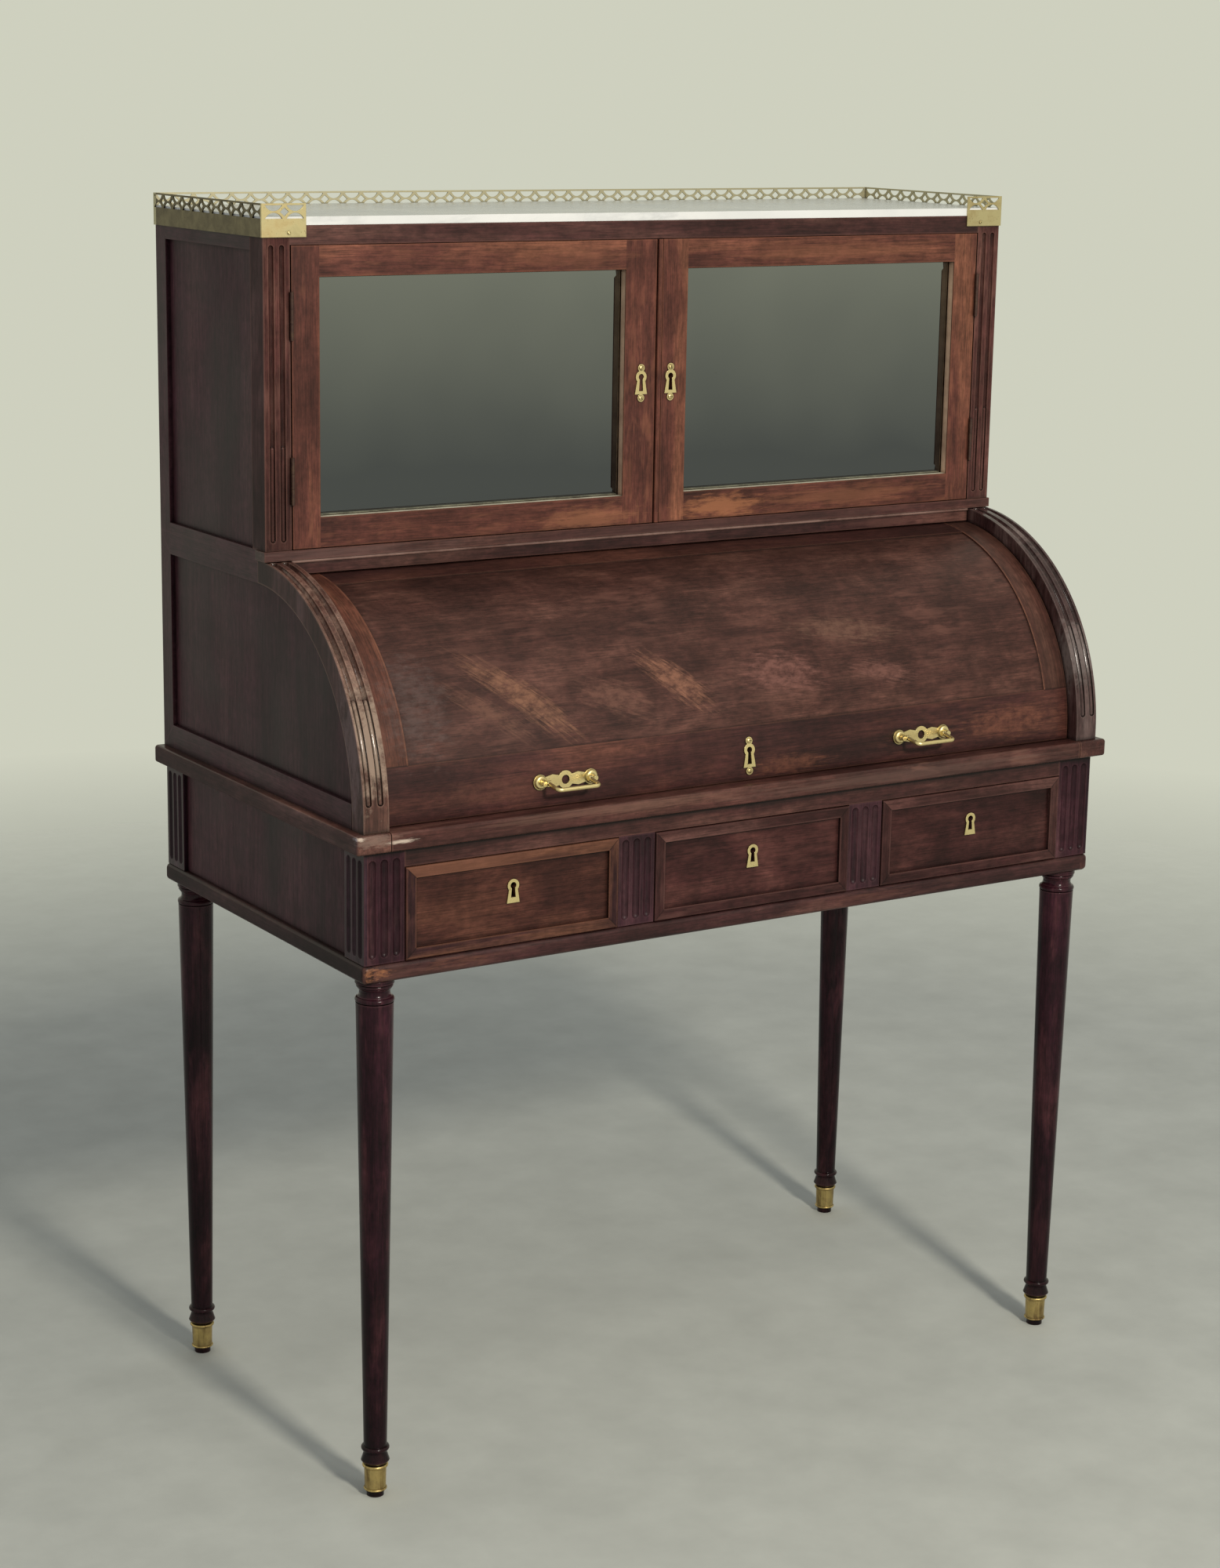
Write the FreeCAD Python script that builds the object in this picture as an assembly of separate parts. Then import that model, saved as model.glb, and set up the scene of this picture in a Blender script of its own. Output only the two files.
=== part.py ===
import FreeCAD, Part
import math
import os

Vec = FreeCAD.Vector

# Sizes are in millimetres. X runs to the right, Y to the back and Z up.
# The origin is on the floor, under the middle of the table's outline.

# Overall sizes
table_width = 993.0
table_depth = 493.0
base_setback = 13.5
case_setback = 11.0
back_reveal = 1.5
leg_height = 580.0

# Heights of the base, from the legs up to the writing height
base_moulding_height = 20.0
drawer_opening_height = 100.0
drawer_rail_height = 20.0
table_edge_height = 20.0

# Base posts, rails and dividers
front_overhang = 11.0
post_width = 47.0
post_depth = 43.0
divider_width = 46.0
divider_depth = 22.0
rail_depth = 22.0
moulding_projection = 2.5
moulding_inset = 9.5
moulding_round = 6.0
panel_thickness = 12.0
panel_recess = 5.0
back_thickness = 12.0

# Flutes of the base
base_flute_radius = 4.9
base_flute_depth = 3.0
base_flute_pitch = 14.0
side_flute_pitch = 12.5
base_flutes = 3
flute_foot_gap = 6.0
flute_head_gap = 4.0
post_flute_head_gap = 9.0

# Turned legs and their brass shoes
leg_disc_radius = 20.7
leg_ring_radius = 19.6
leg_cove_radius = 18.4
leg_bead_radius = 20.8
leg_body_radius = 20.0
leg_ankle_radius = 12.6
leg_ankle_ring_radius = 15.3
leg_flare_radius = 15.5
leg_disc_height = 4.5
leg_ring_height = 5.0
leg_cove_height = 9.5
leg_cove_share = 0.45
leg_bead_height = 6.5
leg_ankle_ring_height = 5.5
leg_ankle_height = 50.0
leg_ankle_neck_height = 2.5
leg_flare_height = 9.0
shoe_top = 37.0
shoe_foot_height = 7.0
shoe_radius = 12.0
shoe_low_radius = 11.4
shoe_ring_height = 4.0
shoe_low_ring_height = 2.4
shoe_bore_radius = 9.5
fit_clearance = 0.1

# Table edge and writing slide
table_edge_width = 39.0
table_edge_round = 3.5
slide_back_gap = 54.0
slide_side_gap = 1.0
slide_bearer_width = 36.0
leather_side_margin = 52.1
leather_front_margin = 52.0
leather_back_margin = 44.0
leather_thickness = 2.0
table_back_depth = 43.0

# Cylinder stage
arc_setback = 7.0
arc_foot = 9.5
arc_radius = 238.0
arc_rail_width = 29.5
arc_rail_depth = 25.0
arc_flute_width = 7.0
arc_flute_pitch = 13.5
arc_flute_shift = 1.5
arc_flutes = 2
arc_flute_start = 5.2
arc_flute_end = 84.0
arc_stop_angle = 30.5
stop_rod_share = 0.86
side_frame_thickness = 17.0
side_bottom_rail_height = 27.0
back_stile_depth = 25.0
joint_gap = 0.2

# Cylinder fall, its arms, pins and lock
fall_recess = 16.2
fall_thickness = 16.0
fall_side_gap = 0.5
fall_foot_angle = 2.3
fall_head_angle = 86.0
fall_headroom = 0.7
fall_border_width = 33.8
fall_field_recess = 1.5
fall_field_low_angle = 13.4
fall_field_high_angle = 75.9
fall_lock_width = 56.0
fall_lock_height = 38.0
fall_lock_depth = 12.0
arm_thickness = 4.0
arm_low_angle = 18.0
arm_high_angle = 62.0
arm_eye_radius = 8.0
arm_end_gap = 1.0
arm_web_share = 0.62
pin_radius = 5.0
pin_depth = 7.0
pin_clearance = 0.05

# Bail handles
handle_spacing = 474.0
handle_angle = 4.7
handle_ear_spacing = 62.5
handle_ear_radius = 8.2
handle_boss_radius = 7.2
handle_boss_height = 3.4
handle_boss_round = 2.4
handle_ring_radius = 9.5
handle_ring_bore = 4.8
handle_leaf_height = 14.0
handle_plate_thickness = 2.0
stud_radius = 2.8
stud_length = 10.5
bail_reach = 20.0
bail_drop = 3.6
bail_radius = 2.3
bail_corner = 5.0
bail_eye_radius = 2.9
bail_eye_width = 4.9
bail_pin_radius = 1.5
bail_side_gap = 0.3

# Keyhole plates
plate_width = 16.0
plate_height = 42.0
plate_thickness = 1.4
plate_lobe_share = 0.27
plate_head_share = 0.44
plate_waist_share = 0.28
plate_rise_share = 0.16
plate_skirt_share = 0.3
keyhole_head_share = 0.21
keyhole_foot_share = 0.82
keyhole_drop_share = 0.375
drawer_plate_width = 15.4
drawer_plate_height = 25.8
drawer_plate_head_share = 0.45
drawer_plate_waist_share = 0.3
drawer_keyhole_head_share = 0.23
drawer_keyhole_drop_share = 0.5
keyhole_depth = 8.0

# Upper cabinet
cabinet_lead = 19.0
sill_height = 26.0
sill_strip_height = 10.5
sill_bead_height = 3.5
sill_depth = 20.0
sill_end_projection = 2.0
sill_front_projection = 2.0
floor_thickness = 16.0
floor_drop = 2.0
stile_width = 31.0
stile_depth = 30.0
stile_flute_width = 6.0
stile_flute_pitch = 12.4
stile_flutes = 2
stile_flute_gap = 9.0
stile_stop_height = 110.0
door_height = 318.0
top_rail_height = 20.0
top_board_thickness = 16.0
side_top_rail_height = 26.0
shelf_thickness = 14.0
shelf_height_share = 0.47
shelf_setback = 15.0

# Doors, mirrors and hinges
door_thickness = 20.0
door_edge_gap = 0.7
door_hinge_gap = 1.6
door_meeting_gap = 1.4
door_member = 32.5
door_meeting_member = 40.5
mirror_depth = 10.0
mirror_thickness = 4.0
mirror_rebate = 6.0
mirror_bevel_width = 17.0
mirror_bevel_depth = 1.6
door_bead_width = 6.0
door_quirk_width = 1.2
door_quirk_depth = 1.4
door_bead_projection = 2.2
door_plate_offset = 19.0
door_plate_share = 0.5
door_lock_width = 26.0
door_lock_height = 60.0
door_lock_depth = 10.0
hinge_height = 50.0
hinge_inset = 48.0
hinge_leaf_thickness = 0.6
hinge_leaf_length = 14.0
hinge_knuckle_radius = 2.0
hinge_pin_radius = 1.0
hinge_pin_offset = 2.4
hinge_knuckle_share = 0.34
hinge_knuckle_gap = 0.3

# Drawers
drawer_gap = 0.8
drawer_front_thickness = 18.0
drawer_field_setback = 2.0
drawer_frame_width = 12.0
drawer_frame_projection = 2.0
drawer_frame_round = 1.5
drawer_side_thickness = 9.0
drawer_bottom_thickness = 6.0
drawer_bottom_rise = 6.0
drawer_side_height = 78.0
drawer_back_gap = 43.5
drawer_lock_width = 50.0
drawer_lock_height = 44.0
drawer_lock_depth = 9.0
drawer_plate_rise = 7.5
runner_width = 22.0
runner_height = 12.0
guide_gap = 1.0

# Small drawers and pigeonholes behind the fall
fitting_front_setback = 15.0
fitting_back_gap = 59.5
fitting_height = 95.0
fitting_board = 7.0
fitting_side_gap = 16.5
fitting_lift = 0.6
fitting_bay_share = 0.32
fitting_row_share = 0.5
small_drawer_gap = 0.6
small_drawer_wall = 6.0
small_knob_radius = 6.0
small_knob_neck = 2.6
small_knob_length = 12.0

# Marble and pierced brass gallery
marble_thickness = 9.0
marble_edge_gap = 0.5
band_thickness = 1.5
band_height = 17.0
band_drop = 12.0
band_return = 51.0
gallery_height = 17.5
gallery_pitch = 23.0
gallery_rail = 1.9
gallery_bar = 1.7
gallery_arch_share = 0.8
gallery_diamond_width = 10.4
gallery_diamond_height = 9.0

# Places worked out from the sizes above
half_table = table_width / 2
half_base = half_table - base_setback
half_case = half_table - case_setback
table_front = -table_depth / 2
table_back = table_depth / 2
case_back = table_back - back_reveal
post_front = table_front + front_overhang
base_inner = half_base - post_width
drawer_floor = leg_height + base_moulding_height
drawer_ceiling = drawer_floor + drawer_opening_height
base_top = drawer_ceiling + drawer_rail_height
table_top = base_top + table_edge_height
drawer_opening_width = (2 * base_inner - 2 * divider_width) / 3
drawer_pitch = drawer_opening_width + divider_width
panel_inner = half_case - side_frame_thickness
axis_y = table_front + arc_setback + arc_radius
axis_z = table_top + arc_foot
arc_inner_radius = arc_radius - arc_rail_depth
fall_radius = arc_radius - fall_recess
fall_inner_radius = fall_radius - fall_thickness
fall_half = half_case - arc_rail_width - fall_side_gap
arc_top = axis_z + arc_radius
back_stile_front = case_back - back_stile_depth
cabinet_front = axis_y - cabinet_lead
sill_bottom = axis_z + fall_radius + fall_headroom
sill_top = sill_bottom + sill_height
sill_back = cabinet_front + sill_depth
door_top = sill_top + door_height
case_top = door_top + top_rail_height
floor_bottom = sill_bottom + floor_drop
floor_top = floor_bottom + floor_thickness
back_inner = case_back - back_thickness
slide_half = half_table - table_edge_width
stile_inner = half_case - stile_width
stile_back = cabinet_front + stile_depth
overrun = table_edge_height


def box(x_low, x_high, y_low, y_high, z_low, z_high):
    size = Vec(x_high - x_low, y_high - y_low, z_high - z_low)
    return Part.makeBox(size.x, size.y, size.z, Vec(x_low, y_low, z_low))


def mirrored(shape):
    return shape.mirror(Vec(0, 0, 0), Vec(1, 0, 0))


def both_sides(shape):
    return [shape, mirrored(shape)]


def save(name, solids):
    group = solids[0] if len(solids) == 1 else Part.makeCompound(solids)
    group.exportStep("parts/" + name + ".step")


def prism(points, y_low, y_high):
    """Extrude an outline drawn as (x, z) pairs from y_low to y_high."""
    corners = [Vec(x, y_low, z) for x, z in points]
    face = Part.Face(Part.makePolygon(corners + corners[:1]))
    return face.extrude(Vec(0, y_high - y_low, 0))


def disc(x, z, radius, y_low, y_high):
    return Part.makeCylinder(radius, y_high - y_low, Vec(x, y_low, z), Vec(0, 1, 0))


def upright_flute(x, y, width, z_low, z_high):
    """A round-ended upright rod, for cutting a flute of that width."""
    radius = width / 2
    low = z_low + radius
    high = z_high - radius
    rod = Part.makeCylinder(radius, high - low, Vec(x, y, low))
    rod = rod.fuse(Part.makeSphere(radius, Vec(x, y, low)))
    return rod.fuse(Part.makeSphere(radius, Vec(x, y, high)))


def upright_stop(x, y, width, z_low, z_high):
    """A round-topped rod that fills the foot of a flute, level with the face."""
    radius = width / 2 * stop_rod_share
    return upright_flute(x, y + radius, 2 * radius, z_low, z_high)


def spread(count, pitch):
    return [pitch * (place - (count - 1) / 2) for place in range(count)]


def turned(start, steps):
    """Revolve a profile of (kind, radius, height) steps round an upright axis."""
    here = Vec(start[0], 0, start[1])
    first = here
    edges = []
    for kind, radius, height in steps:
        there = Vec(radius, 0, height)
        if kind == "line":
            edges.append(Part.makeLine(here, there))
        else:
            swell = abs(there.z - here.z) / 2
            side = swell if kind == "bead" else -swell * leg_cove_share
            middle = (here + there) / 2 + Vec(side, 0, 0)
            edges.append(Part.Arc(here, middle, there).toShape())
        here = there
    edges.append(Part.makeLine(here, first))
    face = Part.Face(Part.Wire(edges))
    return face.revolve(Vec(0, 0, 0), Vec(0, 0, 1), 360)


def leg_turning():
    ring_top = leg_height - leg_disc_height
    cove_top = ring_top - leg_ring_height
    bead_top = cove_top - leg_cove_height
    body_top = bead_top - leg_bead_height
    ankle_low = leg_ankle_height + leg_ankle_neck_height
    ankle_top = ankle_low + leg_ankle_ring_height
    flare_low = leg_ankle_height - leg_flare_height
    tenon = shoe_bore_radius - fit_clearance
    ring_radius = leg_ring_radius - leg_ring_height / 2
    bead_radius = leg_bead_radius - leg_bead_height / 2
    ankle_ring_radius = leg_ankle_ring_radius - leg_ankle_ring_height / 2
    return turned((0, leg_height), [
        ("line", leg_disc_radius, leg_height),
        ("line", leg_disc_radius, ring_top),
        ("line", ring_radius, ring_top),
        ("bead", ring_radius, cove_top),
        ("line", leg_cove_radius, cove_top),
        ("cove", leg_cove_radius, bead_top),
        ("line", bead_radius, bead_top),
        ("bead", bead_radius, body_top),
        ("line", leg_body_radius, body_top),
        ("line", leg_ankle_radius, ankle_top),
        ("line", ankle_ring_radius, ankle_top),
        ("bead", ankle_ring_radius, ankle_low),
        ("line", ankle_ring_radius, leg_ankle_height),
        ("line", leg_flare_radius, flare_low),
        ("line", shoe_radius, shoe_top),
        ("line", tenon, shoe_top),
        ("line", tenon, 0),
        ("line", 0, 0),
    ])


def leg_shoe():
    low = shoe_foot_height
    ring_low = low + shoe_low_ring_height
    ring_high = shoe_top - shoe_ring_height
    return turned((shoe_bore_radius, shoe_top), [
        ("line", shoe_radius, shoe_top),
        ("bead", shoe_radius, ring_high),
        ("line", shoe_low_radius, ring_low),
        ("bead", shoe_low_radius, low),
        ("line", shoe_bore_radius, low),
    ])


def corner_post(front):
    """A left post: fluted block, rebated for the moulding, over a turned leg."""
    left = -half_base
    right = left + post_width
    low = post_front if front else case_back - post_depth
    high = low + post_depth
    rebate_low = low + moulding_inset if front else low
    block = box(left, right, low, high, drawer_floor, base_top)
    root = box(left + moulding_inset, right, rebate_low, high, leg_height, drawer_floor)
    post = block.fuse(root)
    centre = Vec((left + right) / 2, (low + high) / 2, 0)
    flute_low = drawer_floor + flute_foot_gap
    flute_high = base_top - post_flute_head_gap
    stand = base_flute_radius - base_flute_depth
    width = 2 * base_flute_radius
    cuts = []
    for shift in spread(base_flutes, side_flute_pitch):
        place = centre.y + shift
        cuts.append(upright_flute(left - stand, place, width, flute_low, flute_high))
    if front:
        for shift in spread(base_flutes, base_flute_pitch):
            place = centre.x + shift
            cuts.append(upright_flute(place, low - stand, width, flute_low, flute_high))
    leg = leg_turning()
    leg.translate(centre)
    return post.cut(cuts).fuse(leg).removeSplitter()


def post_centres():
    x = half_base - post_width / 2
    front = post_front + post_depth / 2
    back = case_back - post_depth / 2
    return [Vec(side * x, y, 0) for y in (front, back) for side in (-1, 1)]


def make_legs():
    for name, front in (("front", True), ("back", False)):
        left = corner_post(front)
        save(name + "_left_leg", [left])
        save(name + "_right_leg", [mirrored(left)])
    shoes = []
    for centre in post_centres():
        shoe = leg_shoe()
        shoe.translate(centre)
        shoes.append(shoe)
    save("leg_shoes", shoes)


def moulding_outline(points):
    """The moulding's full height over an outline drawn as (x, y) pairs."""
    corners = [Vec(x, y, leg_height) for x, y in points]
    face = Part.Face(Part.makePolygon(corners + corners[:1]))
    return face.extrude(Vec(0, 0, base_moulding_height))


def make_base_moulding():
    half = half_base + moulding_projection
    low = post_front - moulding_projection
    inset = moulding_projection + moulding_inset
    slab = box(-half, half, low, case_back, leg_height, drawer_floor)
    rounded = [edge for edge in slab.Edges if edge.CenterOfMass.y < case_back - moulding_round]
    slab = slab.makeFillet(moulding_round, rounded)
    front = slab.common(moulding_outline([
        (-half, low),
        (half, low),
        (half - inset, low + inset),
        (-half + inset, low + inset),
    ]))
    left = slab.common(moulding_outline([
        (-half, low),
        (-half + inset, low + inset),
        (-half + inset, case_back),
        (-half, case_back),
    ]))
    back = box(-base_inner, base_inner, case_back - inset, case_back, leg_height, drawer_floor)
    save("base_moulding", [front, back] + both_sides(left))


def make_base_panels():
    outer = half_base - panel_recess
    front = post_front + post_depth
    back = case_back - post_depth
    left = box(-outer, -outer + panel_thickness, front, back, drawer_floor, base_top)
    save("base_side_panels", both_sides(left))


def make_back_panels():
    base = box(-base_inner, base_inner, back_inner, case_back, drawer_floor, base_top)
    desk = box(-panel_inner, panel_inner, back_inner, case_back, table_top, floor_bottom)
    low = case_top - top_board_thickness
    cabinet = box(-panel_inner, panel_inner, back_inner, case_back, floor_top, low)
    save("back_panels", [base, desk, cabinet])


def make_drawer_rails():
    back = post_front + rail_depth
    upper = box(-base_inner, base_inner, post_front, back, drawer_ceiling, base_top)
    front = post_front + moulding_inset
    lower = box(-base_inner, base_inner, front, front + rail_depth, leg_height, drawer_floor)
    save("drawer_rails", [upper, lower])


def make_drawer_dividers():
    centre = -drawer_pitch / 2
    half = divider_width / 2
    back = post_front + divider_depth
    left = box(centre - half, centre + half, post_front, back, drawer_floor, drawer_ceiling)
    low = drawer_floor + flute_foot_gap
    high = drawer_ceiling - flute_head_gap
    stand = base_flute_radius - base_flute_depth
    width = 2 * base_flute_radius
    cuts = []
    for shift in spread(base_flutes, base_flute_pitch):
        cuts.append(upright_flute(centre + shift, post_front - stand, width, low, high))
    save("drawer_dividers", both_sides(left.cut(cuts)))


def make_runners():
    """Runners under the drawers, guides between them and bearers for the slide."""
    rail_back = post_front + rail_depth
    lower_back = rail_back + moulding_inset
    low = drawer_floor - runner_height
    panel = half_base - panel_recess - panel_thickness
    post_back = post_front + post_depth
    centre = -drawer_pitch / 2
    half = divider_width / 2
    back_post = case_back - post_depth
    guide_top = drawer_floor + drawer_side_height
    side_runner = box(-panel, -base_inner + runner_width, post_back, back_post, low, drawer_floor)
    side_guide = box(
        -panel, -base_inner - guide_gap, post_back, back_post, drawer_floor, guide_top)
    mid_runner = box(centre - half - runner_width, centre + half + runner_width,
                     lower_back, back_inner, low, drawer_floor)
    mid_guide = box(centre - half + guide_gap, centre + half - guide_gap,
                    post_front + divider_depth, back_inner, drawer_floor, guide_top)
    bearer_inner = -panel + slide_bearer_width
    bearer = box(-panel, bearer_inner, post_back, back_post, drawer_ceiling, base_top)
    solids = []
    for piece in (side_runner, side_guide, mid_runner, mid_guide, bearer):
        solids += both_sides(piece)
    save("runners", solids)


def table_slab():
    slab = box(-half_table, half_table, table_front, table_back, base_top, table_top)
    rounded = [edge for edge in slab.Edges if edge.CenterOfMass.y < table_back - table_edge_round]
    return slab.makeFillet(table_edge_round, rounded)


def make_table():
    slab = table_slab()
    left = slab.common(box(
        -half_table, -slide_half, table_front, table_back, base_top, table_top))
    back = box(-slide_half, slide_half, table_back - table_back_depth, table_back,
               base_top, table_top)
    save("table_edges", both_sides(left) + [back])
    half = slide_half - slide_side_gap
    slide_back = table_back - table_back_depth - slide_back_gap
    slide = slab.common(box(
        -half, half, table_front, slide_back, base_top, table_top))
    leather_half = half - leather_side_margin
    leather = box(-leather_half, leather_half, table_front + leather_front_margin,
                  slide_back - leather_back_margin, table_top - leather_thickness, table_top)
    save("writing_slide", [slide.cut(leather)])
    save("slide_leather", [leather])


def ring_sector(x_low, x_high, inner, outer, start, end):
    """A curved bar round the fall's axis, between two angles from the front."""
    corners = [
        Vec(x_low, axis_y - inner, axis_z),
        Vec(x_high, axis_y - inner, axis_z),
        Vec(x_high, axis_y - outer, axis_z),
        Vec(x_low, axis_y - outer, axis_z),
    ]
    face = Part.Face(Part.makePolygon(corners + corners[:1]))
    axis = Vec(0, axis_y, axis_z)
    face.rotate(axis, Vec(-1, 0, 0), start)
    return face.revolve(axis, Vec(-1, 0, 0), end - start)


def on_fall(angle, radius):
    """The point on the fall's middle line at an angle up from the front."""
    turn = math.radians(angle)
    return Vec(0, axis_y - radius * math.cos(turn), axis_z + radius * math.sin(turn))


def arc_rod(x, distance, radius, start, end):
    """A round-ended rod that follows the fall's curve between two angles."""
    low = on_fall(start, distance) + Vec(x, 0, 0)
    high = on_fall(end, distance) + Vec(x, 0, 0)
    turn = math.radians(start)
    ring = Part.Wire(Part.makeCircle(radius, low, Vec(0, math.sin(turn), math.cos(turn))))
    axis = Vec(0, axis_y, axis_z)
    sweep = Part.Face(ring).revolve(axis, Vec(-1, 0, 0), end - start)
    return sweep.fuse([Part.makeSphere(radius, low), Part.makeSphere(radius, high)])


def make_arc_rails():
    outer = -half_case
    inner = outer + arc_rail_width
    rail = ring_sector(outer, inner, arc_inner_radius, arc_radius, 0, 90)
    foot = box(outer, inner, axis_y - arc_radius, axis_y - arc_inner_radius, table_top, axis_z)
    rail = rail.fuse(foot).removeSplitter()
    centre = (outer + inner) / 2 - arc_flute_shift
    flute = arc_flute_width / 2
    stop = flute * stop_rod_share
    cuts = []
    stops = []
    for shift in spread(arc_flutes, arc_flute_pitch):
        place = centre + shift
        cuts.append(arc_rod(place, arc_radius, flute, arc_flute_start, arc_flute_end))
        stops.append(arc_rod(place, arc_radius - stop, stop, arc_flute_start, arc_stop_angle))
    rail = rail.cut(cuts).fuse(stops).removeSplitter()
    save("left_arc_rail", [rail])
    save("right_arc_rail", [mirrored(rail)])


def side_board(points, x_low, x_high):
    """Extrude an outline drawn as (y, z) pairs from x_low to x_high."""
    corners = [Vec(x_low, y, z) for y, z in points]
    face = Part.Face(Part.makePolygon(corners + corners[:1]))
    return face.extrude(Vec(x_high - x_low, 0, 0))


def make_side_frames():
    """The straight members of each side's frames, mitred at the desk's back corners."""
    outer = -half_case
    inner = -panel_inner
    rise = table_top + side_bottom_rail_height - axis_z
    shoulder = axis_y - math.sqrt(arc_inner_radius ** 2 - rise ** 2) + joint_gap
    bottom_high = table_top + side_bottom_rail_height
    top_low = axis_z + arc_inner_radius
    bottom = side_board([
        (shoulder, table_top),
        (case_back, table_top),
        (back_stile_front, bottom_high),
        (shoulder, bottom_high),
    ], outer, inner)
    pin_hole = Part.makeCylinder(pin_radius + pin_clearance, pin_depth + pin_clearance,
                                 Vec(inner, axis_y, axis_z), Vec(-1, 0, 0))
    bottom = bottom.cut(pin_hole)
    desk_stile = side_board([
        (case_back, table_top),
        (case_back, arc_top),
        (back_stile_front, top_low),
        (back_stile_front, bottom_high),
    ], outer, inner)
    top = side_board([
        (axis_y, top_low),
        (back_stile_front, top_low),
        (case_back, arc_top),
        (axis_y, arc_top),
    ], outer, inner)
    middle = box(outer, inner, sill_back, back_stile_front, arc_top, sill_top)
    high = box(outer, inner, stile_back, back_stile_front,
               case_top - side_top_rail_height, case_top)
    cabinet_stile = box(outer, inner, back_stile_front, case_back, arc_top, case_top)
    members = [bottom, top, middle, high, desk_stile, cabinet_stile]
    save("left_side_frame", members)
    save("right_side_frame", [mirrored(member) for member in members])


def make_side_panels():
    outer = -half_case + panel_recess
    inner = -panel_inner
    low = table_top + side_bottom_rail_height
    high = axis_z + arc_inner_radius
    round_part = Part.makeCylinder(arc_inner_radius - joint_gap, inner - outer,
                                   Vec(outer, axis_y, axis_z), Vec(1, 0, 0))
    front = round_part.common(box(
        outer, inner, axis_y - arc_radius, axis_y, low, high))
    rear = box(outer, inner, axis_y, back_stile_front, low, high)
    panel = front.fuse(rear).removeSplitter()
    save("left_cylinder_panel", [panel])
    save("right_cylinder_panel", [mirrored(panel)])
    cabinet_high = case_top - side_top_rail_height
    cabinet = box(outer, inner, stile_back, back_stile_front, sill_top, cabinet_high)
    save("left_cabinet_panel", [cabinet])
    save("right_cabinet_panel", [mirrored(cabinet)])


def keyhole(x, z, head_radius, drop, y_low, y_high):
    foot = head_radius * keyhole_foot_share
    slot = prism([
        (x - head_radius / 2, z),
        (x + head_radius / 2, z),
        (x + foot, z - drop),
        (x - foot, z - drop),
    ], y_low, y_high)
    return slot.fuse(disc(x, z, head_radius, y_low, y_high))


def shaped_plate(x, z, y_low, y_high):
    """A keyhole plate with a screw lobe above and below a flared skirt."""
    lobe = plate_width * plate_lobe_share
    reach = plate_height / 2 - lobe
    head = plate_width * plate_head_share
    head_rise = plate_height * plate_rise_share
    waist = plate_width * plate_waist_share
    skirt = plate_width / 2
    skirt_drop = plate_height * plate_skirt_share
    solid = prism([
        (x - waist, z + head_rise),
        (x + waist, z + head_rise),
        (x + skirt, z - skirt_drop),
        (x - skirt, z - skirt_drop),
    ], y_low, y_high)
    solid = solid.fuse([
        disc(x, z + head_rise, head, y_low, y_high),
        disc(x, z + reach, lobe, y_low, y_high),
        disc(x, z - reach, lobe, y_low, y_high),
    ])
    return solid.removeSplitter()


def shaped_keyhole(x, z, y_low, y_high):
    rise = plate_height * plate_rise_share
    head = plate_width * keyhole_head_share
    return keyhole(x, z + rise, head, plate_height * keyhole_drop_share, y_low, y_high)


def fall_skin(thickness):
    return ring_sector(-fall_half, fall_half, fall_radius, fall_radius + thickness,
                       -fall_foot_angle, fall_head_angle)


def fall_plate_centre():
    return axis_z + fall_radius * math.sin(math.radians(handle_angle))


def make_fall():
    fall = ring_sector(-fall_half, fall_half, fall_inner_radius, fall_radius,
                       -fall_foot_angle, fall_head_angle)
    field_half = fall_half - fall_border_width
    field = ring_sector(-field_half, field_half, fall_radius - fall_field_recess,
                        fall_radius + overrun, fall_field_low_angle, fall_field_high_angle)
    front = axis_y - fall_radius - overrun
    centre = fall_plate_centre()
    lock_front = axis_y - fall_inner_radius - fall_lock_depth / 2
    lock = box(-fall_lock_width / 2, fall_lock_width / 2, lock_front,
               lock_front + fall_lock_depth, centre - fall_lock_height / 2,
               centre + fall_lock_height / 2)
    hole = shaped_keyhole(0, centre, front, lock_front)
    save("fall_panel", [fall.cut([field, lock, hole])])
    plate = shaped_plate(0, centre, front, lock_front).common(fall_skin(plate_thickness))
    save("fall_lock", [lock, plate.cut(hole)])


def make_fall_arms():
    """Quadrant arms that carry the fall on its pins, one at each end."""
    inner = -fall_half
    outer = inner - arm_thickness
    reach = arc_inner_radius - arm_end_gap
    low = on_fall(arm_low_angle, reach) + Vec(outer, 0, 0)
    middle = on_fall((arm_low_angle + arm_high_angle) / 2, reach) + Vec(outer, 0, 0)
    high = on_fall(arm_high_angle, reach) + Vec(outer, 0, 0)
    centre = Vec(outer, axis_y, axis_z)
    outline = Part.Wire([
        Part.makeLine(centre, low),
        Part.Arc(low, middle, high).toShape(),
        Part.makeLine(high, centre),
    ])
    web = Part.Face(outline).extrude(Vec(arm_thickness, 0, 0))
    mid_angle = (arm_low_angle + arm_high_angle) / 2
    window_centre = on_fall(mid_angle, reach * arm_web_share) + Vec(outer - arm_thickness, 0, 0)
    half_turn = math.radians((arm_high_angle - arm_low_angle) / 2)
    window_radius = reach * arm_web_share * math.sin(half_turn) * arm_web_share
    window = Part.makeCylinder(window_radius, 3 * arm_thickness, window_centre, Vec(1, 0, 0))
    eye = Part.makeCylinder(arm_eye_radius, arm_thickness, centre, Vec(1, 0, 0))
    pin_length = inner + panel_inner + pin_depth
    pin = Part.makeCylinder(pin_radius, pin_length, Vec(inner, axis_y, axis_z), Vec(-1, 0, 0))
    arm = web.cut(window).fuse([eye, pin]).removeSplitter()
    save("fall_arms", both_sides(arm))


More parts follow.
